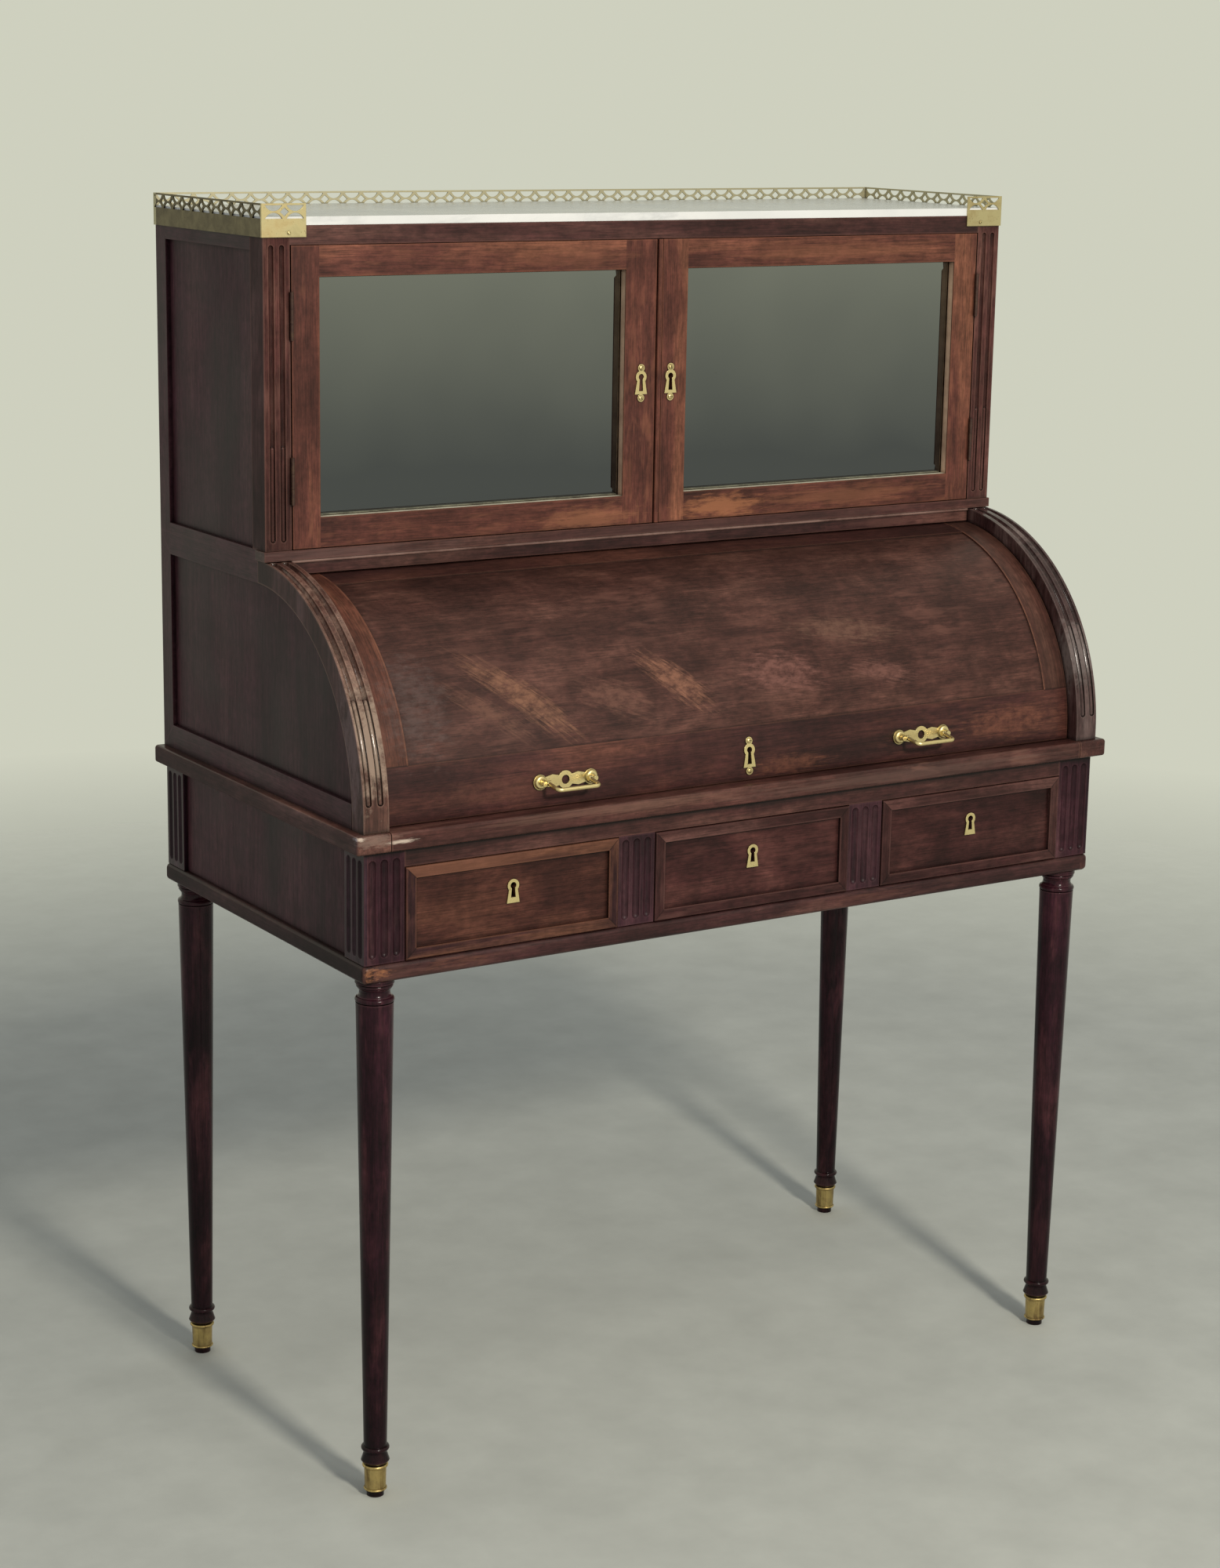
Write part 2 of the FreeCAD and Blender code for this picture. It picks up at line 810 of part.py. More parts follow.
def handle_plate(x):
    centre = fall_plate_centre()
    front = axis_y - fall_radius - overrun
    back = axis_y - fall_inner_radius
    half = handle_ear_spacing / 2
    leaf = handle_leaf_height / 2
    solid = prism([
        (x - half, centre - leaf / 2),
        (x - half / 2, centre - leaf),
        (x, centre - leaf / 2),
        (x + half / 2, centre - leaf),
        (x + half, centre - leaf / 2),
        (x + half, centre + leaf / 2),
        (x + half / 2, centre + leaf),
        (x, centre + leaf / 2),
        (x - half / 2, centre + leaf),
        (x - half, centre + leaf / 2),
    ], front, back)
    discs = [disc(x + side * half, centre, handle_ear_radius, front, back) for side in (-1, 1)]
    discs.append(disc(x, centre, handle_ring_radius, front, back))
    solid = solid.fuse(discs).removeSplitter()
    solid = solid.cut(disc(x, centre, handle_ring_bore, front, back))
    return solid.common(fall_skin(handle_plate_thickness))


def bail_axis():
    """The bail's pin line: height, and place in front of the fall."""
    surface = on_fall(handle_angle, fall_radius + handle_plate_thickness)
    return Vec(0, surface.y - stud_length + stud_radius, surface.z)


def handle_studs(x):
    """The rounded bosses on the plate's ears, and the studs that hold the bail."""
    pivot = bail_axis()
    root = on_fall(handle_angle, fall_radius + handle_plate_thickness / 2).y
    boss_front = on_fall(handle_angle, fall_radius + handle_plate_thickness).y - handle_boss_height
    tip = pivot.y - stud_radius
    studs = []
    for side in (-1, 1):
        place = x + side * handle_ear_spacing / 2
        boss = disc(place, pivot.z, handle_boss_radius, boss_front, root)
        rim = [edge for edge in boss.Edges if edge.BoundBox.YMax < root - handle_boss_round]
        studs.append(boss.makeFillet(handle_boss_round, rim))
        stud = disc(place, pivot.z, stud_radius, tip, root)
        hole = Part.makeCylinder(bail_pin_radius + pin_clearance, 2 * stud_length,
                                 Vec(place - stud_length, pivot.y, pivot.z), Vec(1, 0, 0))
        studs.append(stud.cut(hole))
    return studs


def swept_rod(points, corner, radius):
    """A round rod along straight runs, with the same bend at every corner."""
    edges = []
    here = points[0]
    for place in range(1, len(points) - 1):
        corner_point = points[place]
        back = (points[place - 1] - corner_point).normalize()
        ahead = (points[place + 1] - corner_point).normalize()
        half = back.getAngle(ahead) / 2
        setback = corner / math.tan(half)
        start = corner_point + back * setback
        end = corner_point + ahead * setback
        bisector = (back + ahead).normalize()
        middle = corner_point + bisector * (corner / math.sin(half) - corner)
        edges.append(Part.makeLine(here, start))
        edges.append(Part.Arc(start, middle, end).toShape())
        here = end
    edges.append(Part.makeLine(here, points[-1]))
    path = Part.Wire(edges)
    section = Part.Wire(Part.makeCircle(radius, points[0], points[1] - points[0]))
    return path.makePipeShell([section], True, True)


def bail(x):
    pivot = bail_axis()
    inside = handle_ear_spacing / 2
    arm = inside - stud_radius - bail_eye_width / 2 - bail_side_gap
    tip = Vec(0, pivot.y - bail_reach, pivot.z - bail_drop)
    rod = swept_rod([
        Vec(x - arm, pivot.y, pivot.z),
        Vec(x - arm, tip.y, tip.z),
        Vec(x + arm, tip.y, tip.z),
        Vec(x + arm, pivot.y, pivot.z),
    ], bail_corner, bail_radius)
    pieces = []
    for side in (-1, 1):
        end = Vec(x + side * arm, pivot.y, pivot.z)
        eye_side = end - Vec(bail_eye_width / 2, 0, 0)
        pieces.append(Part.makeCylinder(bail_eye_radius, bail_eye_width, eye_side, Vec(1, 0, 0)))
        pin_length = inside - arm + stud_radius
        pieces.append(Part.makeCylinder(bail_pin_radius, pin_length, end, Vec(side, 0, 0)))
    return rod.fuse(pieces).removeSplitter()


def make_handles():
    plates = []
    for side, name in ((-1, "left"), (1, "right")):
        x = side * handle_spacing / 2
        plates.append(handle_plate(x).fuse(handle_studs(x)).removeSplitter())
        save(name + "_bail", [bail(x)])
    save("handle_plates", plates)


def make_sill():
    """The stepped moulding under the doors."""
    half = half_case + sill_end_projection
    strip_low = sill_top - sill_strip_height
    front = cabinet_front - sill_front_projection
    strip = box(-half, half, front, sill_back, strip_low, sill_top)
    inner = fall_half
    bead_low = strip_low - sill_bead_height
    bead_radius = sill_bead_height / 2
    bead = Part.makeCylinder(bead_radius, 2 * inner,
                             Vec(-inner, front + bead_radius, bead_low + bead_radius), Vec(1, 0, 0))
    bead_back = box(-inner, inner, front + bead_radius, sill_back, bead_low, strip_low)
    lower = box(-inner, inner, cabinet_front, sill_back, sill_bottom, bead_low)
    save("cabinet_sill", [strip.fuse([bead, bead_back, lower]).removeSplitter()])


def make_cabinet_boards():
    floor = box(-panel_inner, panel_inner, sill_back, case_back, floor_bottom, floor_top)
    save("cabinet_floor", [floor])
    rail_back = cabinet_front + rail_depth
    rail = box(-stile_inner, stile_inner, cabinet_front, rail_back, door_top, case_top)
    save("cabinet_top_rail", [rail])
    board_low = case_top - top_board_thickness
    board = box(-panel_inner, panel_inner, rail_back, case_back, board_low, case_top)
    stile_notch = box(-half_case, -stile_inner, rail_back, stile_back, board_low, case_top)
    save("cabinet_top_board", [board.cut(both_sides(stile_notch))])
    low = sill_top + door_height * shelf_height_share
    front = stile_back + shelf_setback
    shelf = box(-panel_inner, panel_inner, front, back_inner, low, low + shelf_thickness)
    save("cabinet_shelf", [shelf])


def make_stiles():
    left = -half_case
    right = left + stile_width
    stile = box(left, right, cabinet_front, stile_back, sill_top, case_top)
    centre = (left + right) / 2
    low = sill_top + stile_flute_gap
    high = door_top
    stop = sill_top + stile_stop_height
    cuts = []
    stops = []
    for shift in spread(stile_flutes, stile_flute_pitch):
        place = centre + shift
        cuts.append(upright_flute(place, cabinet_front, stile_flute_width, low, high))
        stops.append(upright_stop(place, cabinet_front, stile_flute_width, low, stop))
    stile = stile.cut(cuts).fuse(stops).removeSplitter()
    save("left_stile", [stile])
    save("right_stile", [mirrored(stile)])


def mirror_glass(x_low, x_high, z_low, z_high, y_front):
    """A mirror plate with a wide bevel round its face."""
    face_y = y_front
    edge_y = y_front + mirror_bevel_depth
    back_y = y_front + mirror_thickness

    def outline(inset, y):
        corners = [
            Vec(x_low + inset, y, z_low + inset),
            Vec(x_high - inset, y, z_low + inset),
            Vec(x_high - inset, y, z_high - inset),
            Vec(x_low + inset, y, z_high - inset),
        ]
        return Part.makePolygon(corners + corners[:1])

    bevel = Part.makeLoft([outline(mirror_bevel_width, face_y), outline(0, edge_y)], True, True)
    slab = box(x_low, x_high, edge_y, back_y, z_low, z_high)
    return bevel.fuse(slab).removeSplitter()


def right_door_box():
    low = door_meeting_gap / 2
    high = stile_inner - door_hinge_gap
    return low, high, sill_top + door_edge_gap, door_top - door_edge_gap


def door_pieces():
    """Frame, mirror and backing of the right door."""
    x_low, x_high, z_low, z_high = right_door_box()
    back = cabinet_front + door_thickness
    frame = box(x_low, x_high, cabinet_front, back, z_low, z_high)
    sight = box(x_low + door_meeting_member, x_high - door_member, cabinet_front, back,
                z_low + door_member, z_high - door_member)
    edge = door_member - mirror_rebate
    x_near = x_low + door_meeting_member - mirror_rebate
    x_far = x_high - edge
    glass_front = cabinet_front + mirror_depth
    rebate = box(x_near, x_far, glass_front, back, z_low + edge, z_high - edge)
    frame = frame.cut([sight, rebate])
    glass = mirror_glass(x_near, x_far, z_low + edge, z_high - edge, glass_front)
    board = box(x_near, x_far, glass_front + mirror_thickness, back, z_low + edge, z_high - edge)
    return frame, glass, board


def hinge_line():
    """The right door's hinge pin: in the middle of the gap, before the face."""
    return Vec(stile_inner - door_hinge_gap / 2, cabinet_front - hinge_pin_offset, 0)


def hinge_places():
    low = sill_top + hinge_inset
    high = door_top - hinge_inset - hinge_height
    return (low, high)


def door_leaf(z_low):
    """A hinge leaf on the right door's edge, with the middle knuckle."""
    pin = hinge_line()
    x_high = stile_inner - door_hinge_gap
    leaf = box(x_high, x_high + hinge_leaf_thickness, pin.y, cabinet_front + hinge_leaf_length,
               z_low, z_low + hinge_height)
    knuckle_low = z_low + hinge_height * hinge_knuckle_share
    knuckle_high = z_low + hinge_height * (1 - hinge_knuckle_share)
    gap = hinge_knuckle_gap
    ends = [
        Part.makeCylinder(hinge_knuckle_radius + gap, knuckle_low - z_low,
                          Vec(pin.x, pin.y, z_low)),
        Part.makeCylinder(hinge_knuckle_radius + gap, z_low + hinge_height - knuckle_high,
                          Vec(pin.x, pin.y, knuckle_high)),
    ]
    height = knuckle_high - knuckle_low - 2 * gap
    knuckle = Part.makeCylinder(hinge_knuckle_radius, height,
                                Vec(pin.x, pin.y, knuckle_low + gap))
    bore = Part.makeCylinder(hinge_pin_radius + pin_clearance, hinge_height,
                             Vec(pin.x, pin.y, z_low))
    return leaf.cut(ends).fuse(knuckle).cut(bore).removeSplitter()


def case_leaf(z_low):
    """A hinge leaf on the right stile, with the outer knuckles and the pin."""
    pin = hinge_line()
    leaf = box(stile_inner - hinge_leaf_thickness, stile_inner, pin.y,
               cabinet_front + hinge_leaf_length, z_low, z_low + hinge_height)
    knuckle_low = z_low + hinge_height * hinge_knuckle_share
    knuckle_high = z_low + hinge_height * (1 - hinge_knuckle_share)
    middle = Part.makeCylinder(hinge_knuckle_radius + hinge_knuckle_gap,
                               knuckle_high - knuckle_low, Vec(pin.x, pin.y, knuckle_low))
    pieces = [
        Part.makeCylinder(hinge_knuckle_radius, knuckle_low - z_low, Vec(pin.x, pin.y, z_low)),
        Part.makeCylinder(hinge_knuckle_radius, z_low + hinge_height - knuckle_high,
                          Vec(pin.x, pin.y, knuckle_high)),
    ]
    rod = Part.makeCylinder(hinge_pin_radius, hinge_height, Vec(pin.x, pin.y, z_low))
    return leaf.cut(middle).fuse(pieces + [rod]).removeSplitter()


def make_doors():
    frame, glass, board = door_pieces()
    x_low, x_high, z_low, z_high = right_door_box()
    front = cabinet_front
    plate_z = sill_top + door_height * door_plate_share
    plate_front = front - plate_thickness
    plate_x = x_low + door_plate_offset
    plate = shaped_plate(plate_x, plate_z, plate_front, front)
    hole = shaped_keyhole(plate_x, plate_z, plate_front, front + keyhole_depth)
    plate = plate.cut(hole)
    bead_radius = door_bead_width / 2
    bead = Part.makeCylinder(bead_radius, z_high - z_low, Vec(x_low + bead_radius, front, z_low))
    bead = bead.common(box(x_low, x_high, front - door_bead_projection, front, z_low, z_high))
    quirk_low = x_low + door_bead_width
    quirk = box(quirk_low, quirk_low + door_quirk_width, front, front + door_quirk_depth,
                z_low, z_high)
    hinges = [door_leaf(place) for place in hinge_places()]
    case = [case_leaf(place) for place in hinge_places()]
    back = front + door_thickness
    lock_x = x_low + door_plate_offset - door_lock_width / 2
    lock = box(lock_x, lock_x + door_lock_width, back, back + door_lock_depth,
               plate_z - door_lock_height / 2, plate_z + door_lock_height / 2)
    save("right_door_frame", [frame.cut([hole, quirk]).fuse(bead).removeSplitter()])
    save("right_door_mirror", [glass])
    save("right_door_backing", [board])
    save("right_door_lock", [plate, lock])
    save("right_door_hinges", hinges)
    save("left_door_frame", [mirrored(frame)])
    save("left_door_mirror", [mirrored(glass)])
    save("left_door_backing", [mirrored(board)])
    save("left_door_plate", [mirrored(plate)])
    save("left_door_hinges", [mirrored(leaf) for leaf in hinges])
    save("case_hinges", case + [mirrored(leaf) for leaf in case])


def drawer_plate(x, z, y_low, y_high):
    """A plain keyhole plate: a round head over a flared foot."""
    head = drawer_plate_width * drawer_plate_head_share
    rise = drawer_plate_height / 2 - head
    foot = drawer_plate_width / 2
    waist = drawer_plate_width * drawer_plate_waist_share
    solid = prism([
        (x - waist, z + rise),
        (x + waist, z + rise),
        (x + foot, z - drawer_plate_height / 2),
        (x - foot, z - drawer_plate_height / 2),
    ], y_low, y_high)
    return solid.fuse(disc(x, z + rise, head, y_low, y_high)).removeSplitter()


def drawer_front(x_low, x_high, z_low, z_high):
    field = post_front + drawer_field_setback
    face = post_front - drawer_frame_projection
    board = box(x_low, x_high, field, field + drawer_front_thickness, z_low, z_high)
    outer = box(x_low, x_high, face, field, z_low, z_high)
    rounded = [edge for edge in outer.Edges if edge.CenterOfMass.y < face + drawer_frame_round / 2]
    outer = outer.makeFillet(drawer_frame_round, rounded)
    inset = drawer_frame_width
    opening = box(x_low + inset, x_high - inset, face, field, z_low + inset, z_high - inset)
    return board.fuse(outer.cut(opening)).removeSplitter()


def make_drawer(name, centre):
    half = drawer_opening_width / 2 - drawer_gap
    x_low = centre - half
    x_high = centre + half
    z_low = drawer_floor + drawer_gap / 2
    z_high = drawer_ceiling - drawer_gap
    field = post_front + drawer_field_setback
    inside = field + drawer_front_thickness
    plate_z = (z_low + z_high) / 2 + drawer_plate_rise
    rise = drawer_plate_height / 2 - drawer_plate_width * drawer_plate_head_share
    hole = keyhole(centre, plate_z + rise, drawer_plate_width * drawer_keyhole_head_share,
                   drawer_plate_height * drawer_keyhole_drop_share,
                   field - plate_thickness, field + keyhole_depth)
    save(name + "_drawer_front", [drawer_front(x_low, x_high, z_low, z_high).cut(hole)])
    back = back_inner - drawer_back_gap
    side_top = z_low + drawer_side_height
    wall = drawer_side_thickness
    bottom = z_low + drawer_bottom_rise
    box_low = x_low + guide_gap
    box_high = x_high - guide_gap
    boards = [
        box(box_low, box_low + wall, inside, back, z_low, side_top),
        box(box_high - wall, box_high, inside, back, z_low, side_top),
        box(box_low + wall, box_high - wall, back - wall, back, z_low, side_top),
        box(box_low + wall, box_high - wall, inside, back - wall, bottom,
            bottom + drawer_bottom_thickness),
    ]
    save(name + "_drawer_box", boards)
    plate = drawer_plate(centre, plate_z, field - plate_thickness, field).cut(hole)
    lock = box(centre - drawer_lock_width / 2, centre + drawer_lock_width / 2, inside,
               inside + drawer_lock_depth, plate_z - drawer_lock_height / 2,
               plate_z + drawer_lock_height / 2)
    save(name + "_drawer_lock", [plate, lock])


def fitting_walls():
    half = panel_inner - fitting_side_gap
    front = axis_y + fitting_front_setback
    low = table_top + fitting_lift
    return half, front, back_inner - fitting_back_gap, low, low + fitting_height


def make_fitting():
    """Pigeonholes over two small drawers and an open middle bay."""
    half, front, back, low, high = fitting_walls()
    board = fitting_board
    bay = 2 * half * fitting_bay_share / 2
    shelf = low + fitting_height * fitting_row_share
    floor = low + board
    boards = [
        box(-panel_inner, panel_inner, front, back_inner, low, floor),
        box(-half, half, front, back, high - board, high),
        box(-half + board, half - board, back - board, back, floor, high - board),
    ]
    inner_back = back - board
    for side in both_sides(box(-half, -half + board, front, back, floor, high - board)):
        boards.append(side)
    for wall in both_sides(box(-bay - board, -bay, front, inner_back, floor, high - board)):
        boards.append(wall)
    for row in both_sides(box(-half + board, -bay - board, front, inner_back, shelf, shelf + board)):
        boards.append(row)
    middle = -(half + bay) / 2
    for wall in both_sides(box(middle - board / 2, middle + board / 2, front, inner_back,
                               shelf + board, high - board)):
        boards.append(wall)
    save("pigeonholes", boards)


def make_small_drawers():
    half, front, back, low, high = fitting_walls()
    gap = small_drawer_gap
    wall = small_drawer_wall
    bay = half * fitting_bay_share
    x_low = -half + fitting_board + gap
    x_high = -bay - fitting_board - gap
    z_low = low + fitting_board + gap / 2
    z_high = low + fitting_height * fitting_row_share - gap
    y_high = back - fitting_board - gap
    tray = box(x_low, x_high, front, y_high, z_low, z_high)
    hollow = box(x_low + wall, x_high - wall, front + wall, y_high - wall, z_low + wall, z_high)
    middle = Vec((x_low + x_high) / 2, front, (z_low + z_high) / 2)
    neck = Part.makeCylinder(small_knob_neck, small_knob_length, middle, Vec(0, -1, 0))
    ball_place = middle - Vec(0, small_knob_length - small_knob_radius / 2, 0)
    knob = neck.fuse(Part.makeSphere(small_knob_radius, ball_place))
    drawer = tray.cut(hollow).fuse(knob).removeSplitter()
    save("left_small_drawer", [drawer])
    save("right_small_drawer", [mirrored(drawer)])


def make_marble():
    half = half_case - marble_edge_gap
    slab = box(-half, half, cabinet_front, case_back - marble_edge_gap,
               case_top, case_top + marble_thickness)
    save("marble_top", [slab])


def arch_hole(low_side, apex, high_side, foot, crown):
    """A hole with a straight foot and a round crown, through the gallery's thickness."""
    start = Vec(low_side, 0, foot)
    end = Vec(high_side, 0, foot)
    arc = Part.Arc(start, Vec(apex, 0, crown), end).toShape()
    face = Part.Face(Part.Wire([arc, Part.makeLine(end, start)]))
    return face.extrude(Vec(0, band_thickness, 0))


def pierced_strip(length):
    """A flat strip of gallery from x = 0: arches under hanging arches, with diamonds between."""
    strip = box(0, length, 0, band_thickness, 0, gallery_height)
    count = int(length / gallery_pitch)
    pitch = length / count
    reach = pitch / 2 * gallery_arch_share
    middle = gallery_height / 2
    half_wide = gallery_diamond_width / 2
    half_high = gallery_diamond_height / 2
    holes = []
    for place in range(count):
        centre = pitch * (place + 1 / 2)
        for foot, crown in (
            (gallery_rail, middle - gallery_bar / 2),
            (gallery_height - gallery_rail, middle + gallery_bar / 2),
        ):
            holes.append(arch_hole(centre - reach, centre, centre + reach, foot, crown))
    for place in range(1, count):
        edge = pitch * place
        holes.append(prism([
            (edge - half_wide, middle),
            (edge, middle + half_high),
            (edge + half_wide, middle),
            (edge, middle - half_high),
        ], 0, band_thickness))
    return strip.cut(holes)


def make_gallery():
    band_low = case_top - band_drop
    band_high = band_low + band_height
    outer = half_case + band_thickness
    front = cabinet_front - band_thickness
    back = case_back + band_thickness
    solids = []
    along_back = box(-half_case, half_case, case_back, back, band_low, band_high)
    lattice = pierced_strip(2 * half_case)
    lattice.translate(Vec(-half_case, case_back, band_high))
    solids.append(along_back.fuse(lattice).removeSplitter())
    side_band = box(-outer, -half_case, front, back, band_low, band_high)
    side_lattice = pierced_strip(back - front)
    side_lattice.rotate(Vec(0, 0, 0), Vec(0, 0, 1), 90)
    side_lattice.translate(Vec(-half_case, front, band_high))
    return_end = -outer + band_return
    return_band = box(-half_case, return_end, front, cabinet_front, band_low, band_high)
    return_lattice = pierced_strip(return_end + half_case)
    return_lattice.translate(Vec(-half_case, front, band_high))
    left = side_band.fuse([side_lattice, return_band, return_lattice]).removeSplitter()
    solids += both_sides(left)
    save("brass_gallery", solids)


os.makedirs("parts", exist_ok=True)
make_legs()
make_base_moulding()
make_base_panels()
make_back_panels()
make_drawer_rails()
make_drawer_dividers()
make_runners()
make_table()
make_arc_rails()
make_side_frames()
make_side_panels()
make_fall()
make_fall_arms()
make_handles()
make_sill()
make_cabinet_boards()
make_stiles()
make_doors()
for drawer_name, drawer_place in (("left", -drawer_pitch), ("middle", 0), ("right", drawer_pitch)):
    make_drawer(drawer_name, drawer_place)
make_fitting()
make_small_drawers()
make_marble()
make_gallery()
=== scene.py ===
import bpy
import math
from mathutils import Matrix, Vector


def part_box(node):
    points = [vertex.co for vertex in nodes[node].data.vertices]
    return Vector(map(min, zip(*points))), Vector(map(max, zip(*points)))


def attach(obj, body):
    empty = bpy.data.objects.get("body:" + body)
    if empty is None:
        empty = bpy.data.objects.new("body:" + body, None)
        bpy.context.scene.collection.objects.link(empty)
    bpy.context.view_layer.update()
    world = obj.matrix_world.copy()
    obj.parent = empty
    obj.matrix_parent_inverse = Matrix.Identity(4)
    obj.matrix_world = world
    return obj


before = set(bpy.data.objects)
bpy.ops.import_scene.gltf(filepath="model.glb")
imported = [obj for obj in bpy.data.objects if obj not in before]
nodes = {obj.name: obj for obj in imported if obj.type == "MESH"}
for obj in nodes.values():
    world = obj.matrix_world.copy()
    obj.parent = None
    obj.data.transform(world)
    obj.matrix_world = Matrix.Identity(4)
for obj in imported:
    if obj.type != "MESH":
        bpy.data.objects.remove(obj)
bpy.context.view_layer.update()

# Places on the desk, in metres, in the same frame as the solids
AXIS_Y = -0.0015
AXIS_Z = 0.7495
FALL_RADIUS = 0.2218
FIELD_HALF = 0.4217
FIELD_LOW = math.radians(13.4) * FALL_RADIUS
FIELD_HIGH = math.radians(75.9) * FALL_RADIUS
BORDER_PALEST = 0.16
SHADE_UNDER_SILL = 0.24
LEG_TOP = 0.580
LEG_PALER = (0.05, 0.55)
DRAWER_FRAME = 0.012
MARBLE_FACE = 1.3447
BLOCK_INNER = 0.457
MOULDING_END = 0.4735
BACK_STILE = (0.220, 0.246)
DOOR_SIGHT = (0.0412, 0.4204, 1.0312, 1.2828)
DOOR_FACE = -0.0205
REBATE_DEPTHS = (DOOR_FACE + 0.0015, DOOR_FACE + 0.0115)
MOULDING_FACE = -0.2460
TABLE_FACE = -0.2465
SILL_FACE = -0.0300
CASE_SIDE = 0.4848
TABLE_SIDE = 0.4955
POST_SIDE = 0.4797
SILL_BEAD = (0.9838, 0.9878)
TABLE_UNDERSIDE = 0.7200
# How far the dirt and painted shadow reach down under the table edge
JOINT_REACH = (TABLE_UNDERSIDE - 0.0090, TABLE_UNDERSIDE - 0.0025)
JOINT_TOP = TABLE_UNDERSIDE + 0.0005
GALLERY_SIDE = 0.4800
GALLERY_FRONT = -0.0195
GALLERY_BACK = 0.2400

# Wood tones, written as linear light: dark, middle and worn
WARM = ((0.030, 0.011, 0.010), (0.090, 0.031, 0.021), (0.190, 0.080, 0.047))
DOOR = ((0.044, 0.014, 0.011), (0.122, 0.038, 0.026), (0.260, 0.098, 0.054))
RAIL = ((0.031, 0.011, 0.0105), (0.068, 0.0235, 0.0205), (0.150, 0.066, 0.050))
STILE = ((0.040, 0.014, 0.0125), (0.094, 0.032, 0.027), (0.230, 0.110, 0.082))
EDGE = ((0.036, 0.013, 0.012), (0.090, 0.032, 0.026), (0.200, 0.092, 0.066))
LEFT_ARC = ((0.050, 0.020, 0.016), (0.115, 0.048, 0.035), (0.310, 0.185, 0.135))
RIGHT_ARC = ((0.026, 0.0115, 0.0118), (0.056, 0.0250, 0.0240), (0.165, 0.110, 0.098))
POST = ((0.017, 0.0056, 0.0092), (0.042, 0.0120, 0.0185), (0.105, 0.043, 0.048))
LEG = ((0.011, 0.0028, 0.0056), (0.029, 0.0068, 0.0122), (0.075, 0.023, 0.028))
MOULDING = ((0.025, 0.0086, 0.0090), (0.054, 0.0180, 0.0176), (0.140, 0.060, 0.047))
# Side faces: grey and dark tones, partly painted shade
SIDE = ((0.032, 0.0120, 0.0165), (0.060, 0.0205, 0.0280), (0.092, 0.037, 0.042))
FADED_DRAWER = ((0.030, 0.0100, 0.0080), (0.066, 0.0215, 0.0155), (0.120, 0.044, 0.028))
FADED_FRAME = ((0.020, 0.0068, 0.0085), (0.042, 0.0145, 0.0155), (0.240, 0.100, 0.056))
DRAWER = ((0.025, 0.008, 0.0075), (0.052, 0.0160, 0.0145), (0.095, 0.034, 0.028))
DRAWER_BAR = ((0.022, 0.0075, 0.0075), (0.047, 0.0150, 0.0140), (0.165, 0.076, 0.062))
FIELD = ((0.044, 0.0155, 0.0120), (0.074, 0.0275, 0.0205), (0.130, 0.054, 0.039))
SIDE_BORDER = ((0.056, 0.018, 0.012), (0.138, 0.046, 0.028), (0.250, 0.098, 0.056))
LOW_BAND = ((0.026, 0.0085, 0.0078), (0.058, 0.0180, 0.0155), (0.140, 0.050, 0.033))
# Dark of the joint under the table edge: dirt, with painted shadow of the overhang
JOINT_DIRT_AND_SHADOW = (0.006, 0.004, 0.004)
# A painted highlight along the sill's bead
BEAD_HIGHLIGHT = (0.34, 0.215, 0.175)
# A painted highlight on the lit ledges under the mirrors
LEDGE_HIGHLIGHT = (0.95, 0.88, 0.66)
# Painted light on the mirrors' upright inner edges
REBATE_PAINTED_LIGHT = (0.78, 0.53, 0.36)

# How much greyer and darker the outer faces are than the fronts, partly painted shade, and the fall's right border
# than its left one
SIDE_GREY_AND_SHADE = (0.62, 0.68, 0.86)
RIGHT_BROWN = (0.60, 0.70, 0.82)
ARC_GREY_AND_SHADE = (0.44, 0.38, 0.52)

# Thin lines: half widths where each begins to fade in and where it is full
MITRE_LINE = (0.0009, 0.0003)
BAND_JOINT_LINE = (0.0012, 0.0004)
SEAM_LINE = (0.0014, 0.0005)
SEAM_PLACE = FIELD_HALF + 0.0012
GROUND_HIGHLIGHT_LINE = (0.0022, 0.0016)
GILT_LINE = (0.0013, 0.0008)
GILT_PLACE = 0.012
FACE_SKIN = 0.0003

# Metal, glass, stone, leather, oak, floor and background
PALE_BRASS = (0.80, 0.66, 0.34)
GALLERY_BRASS = (0.66, 0.56, 0.31)
# Darker brass of the shoes: painted dark reflection of the surroundings
SHOE_BRASS_DARK_REFLECTED = (0.60, 0.45, 0.18)
DULL_BRASS = (0.36, 0.26, 0.12)
TARNISHED_SHADED_BRASS = (0.125, 0.105, 0.070)
SHOE_TARNISH_AND_REFLECTION = (0.16, 0.105, 0.045)
KHAKI_TARNISH_AND_SHADE = (0.44, 0.405, 0.28)
BROWNED_BRASS = ((0.042, 0.017, 0.012), (0.085, 0.045, 0.024))
STEEL = ((0.30, 0.29, 0.28), (0.15, 0.12, 0.10))
MIRROR_DARK_REFLECTION = (0.105, 0.112, 0.120)
MIRROR_PALE_REFLECTION = (0.27, 0.28, 0.26)
MIRROR_SPECK = (0.08, 0.08, 0.075)
GROUND_EDGE_HIGHLIGHT = (0.56, 0.57, 0.50)
MARBLE = ((0.88, 0.87, 0.82), (0.78, 0.78, 0.74))
MARBLE_VEIN = (0.42, 0.43, 0.42)
MARBLE_TOP_DUST_AND_REFLECTION = (0.40, 0.41, 0.34)
VEIN_SLANT = math.radians(28.0)
LEATHER = ((0.035, 0.012, 0.008), (0.085, 0.035, 0.020))
GILT = (0.42, 0.29, 0.10)
OAK = ((0.11, 0.062, 0.030), (0.21, 0.128, 0.066), (0.31, 0.20, 0.11))
FLOOR_COLOUR = (0.61, 0.62, 0.545)
FLOOR_SIZE = 8.0
FLOOR_FADE = (1.5, 3.4)
GRIT_SHADE = 0.86
BACKGROUND = (0.62, 0.63, 0.52)
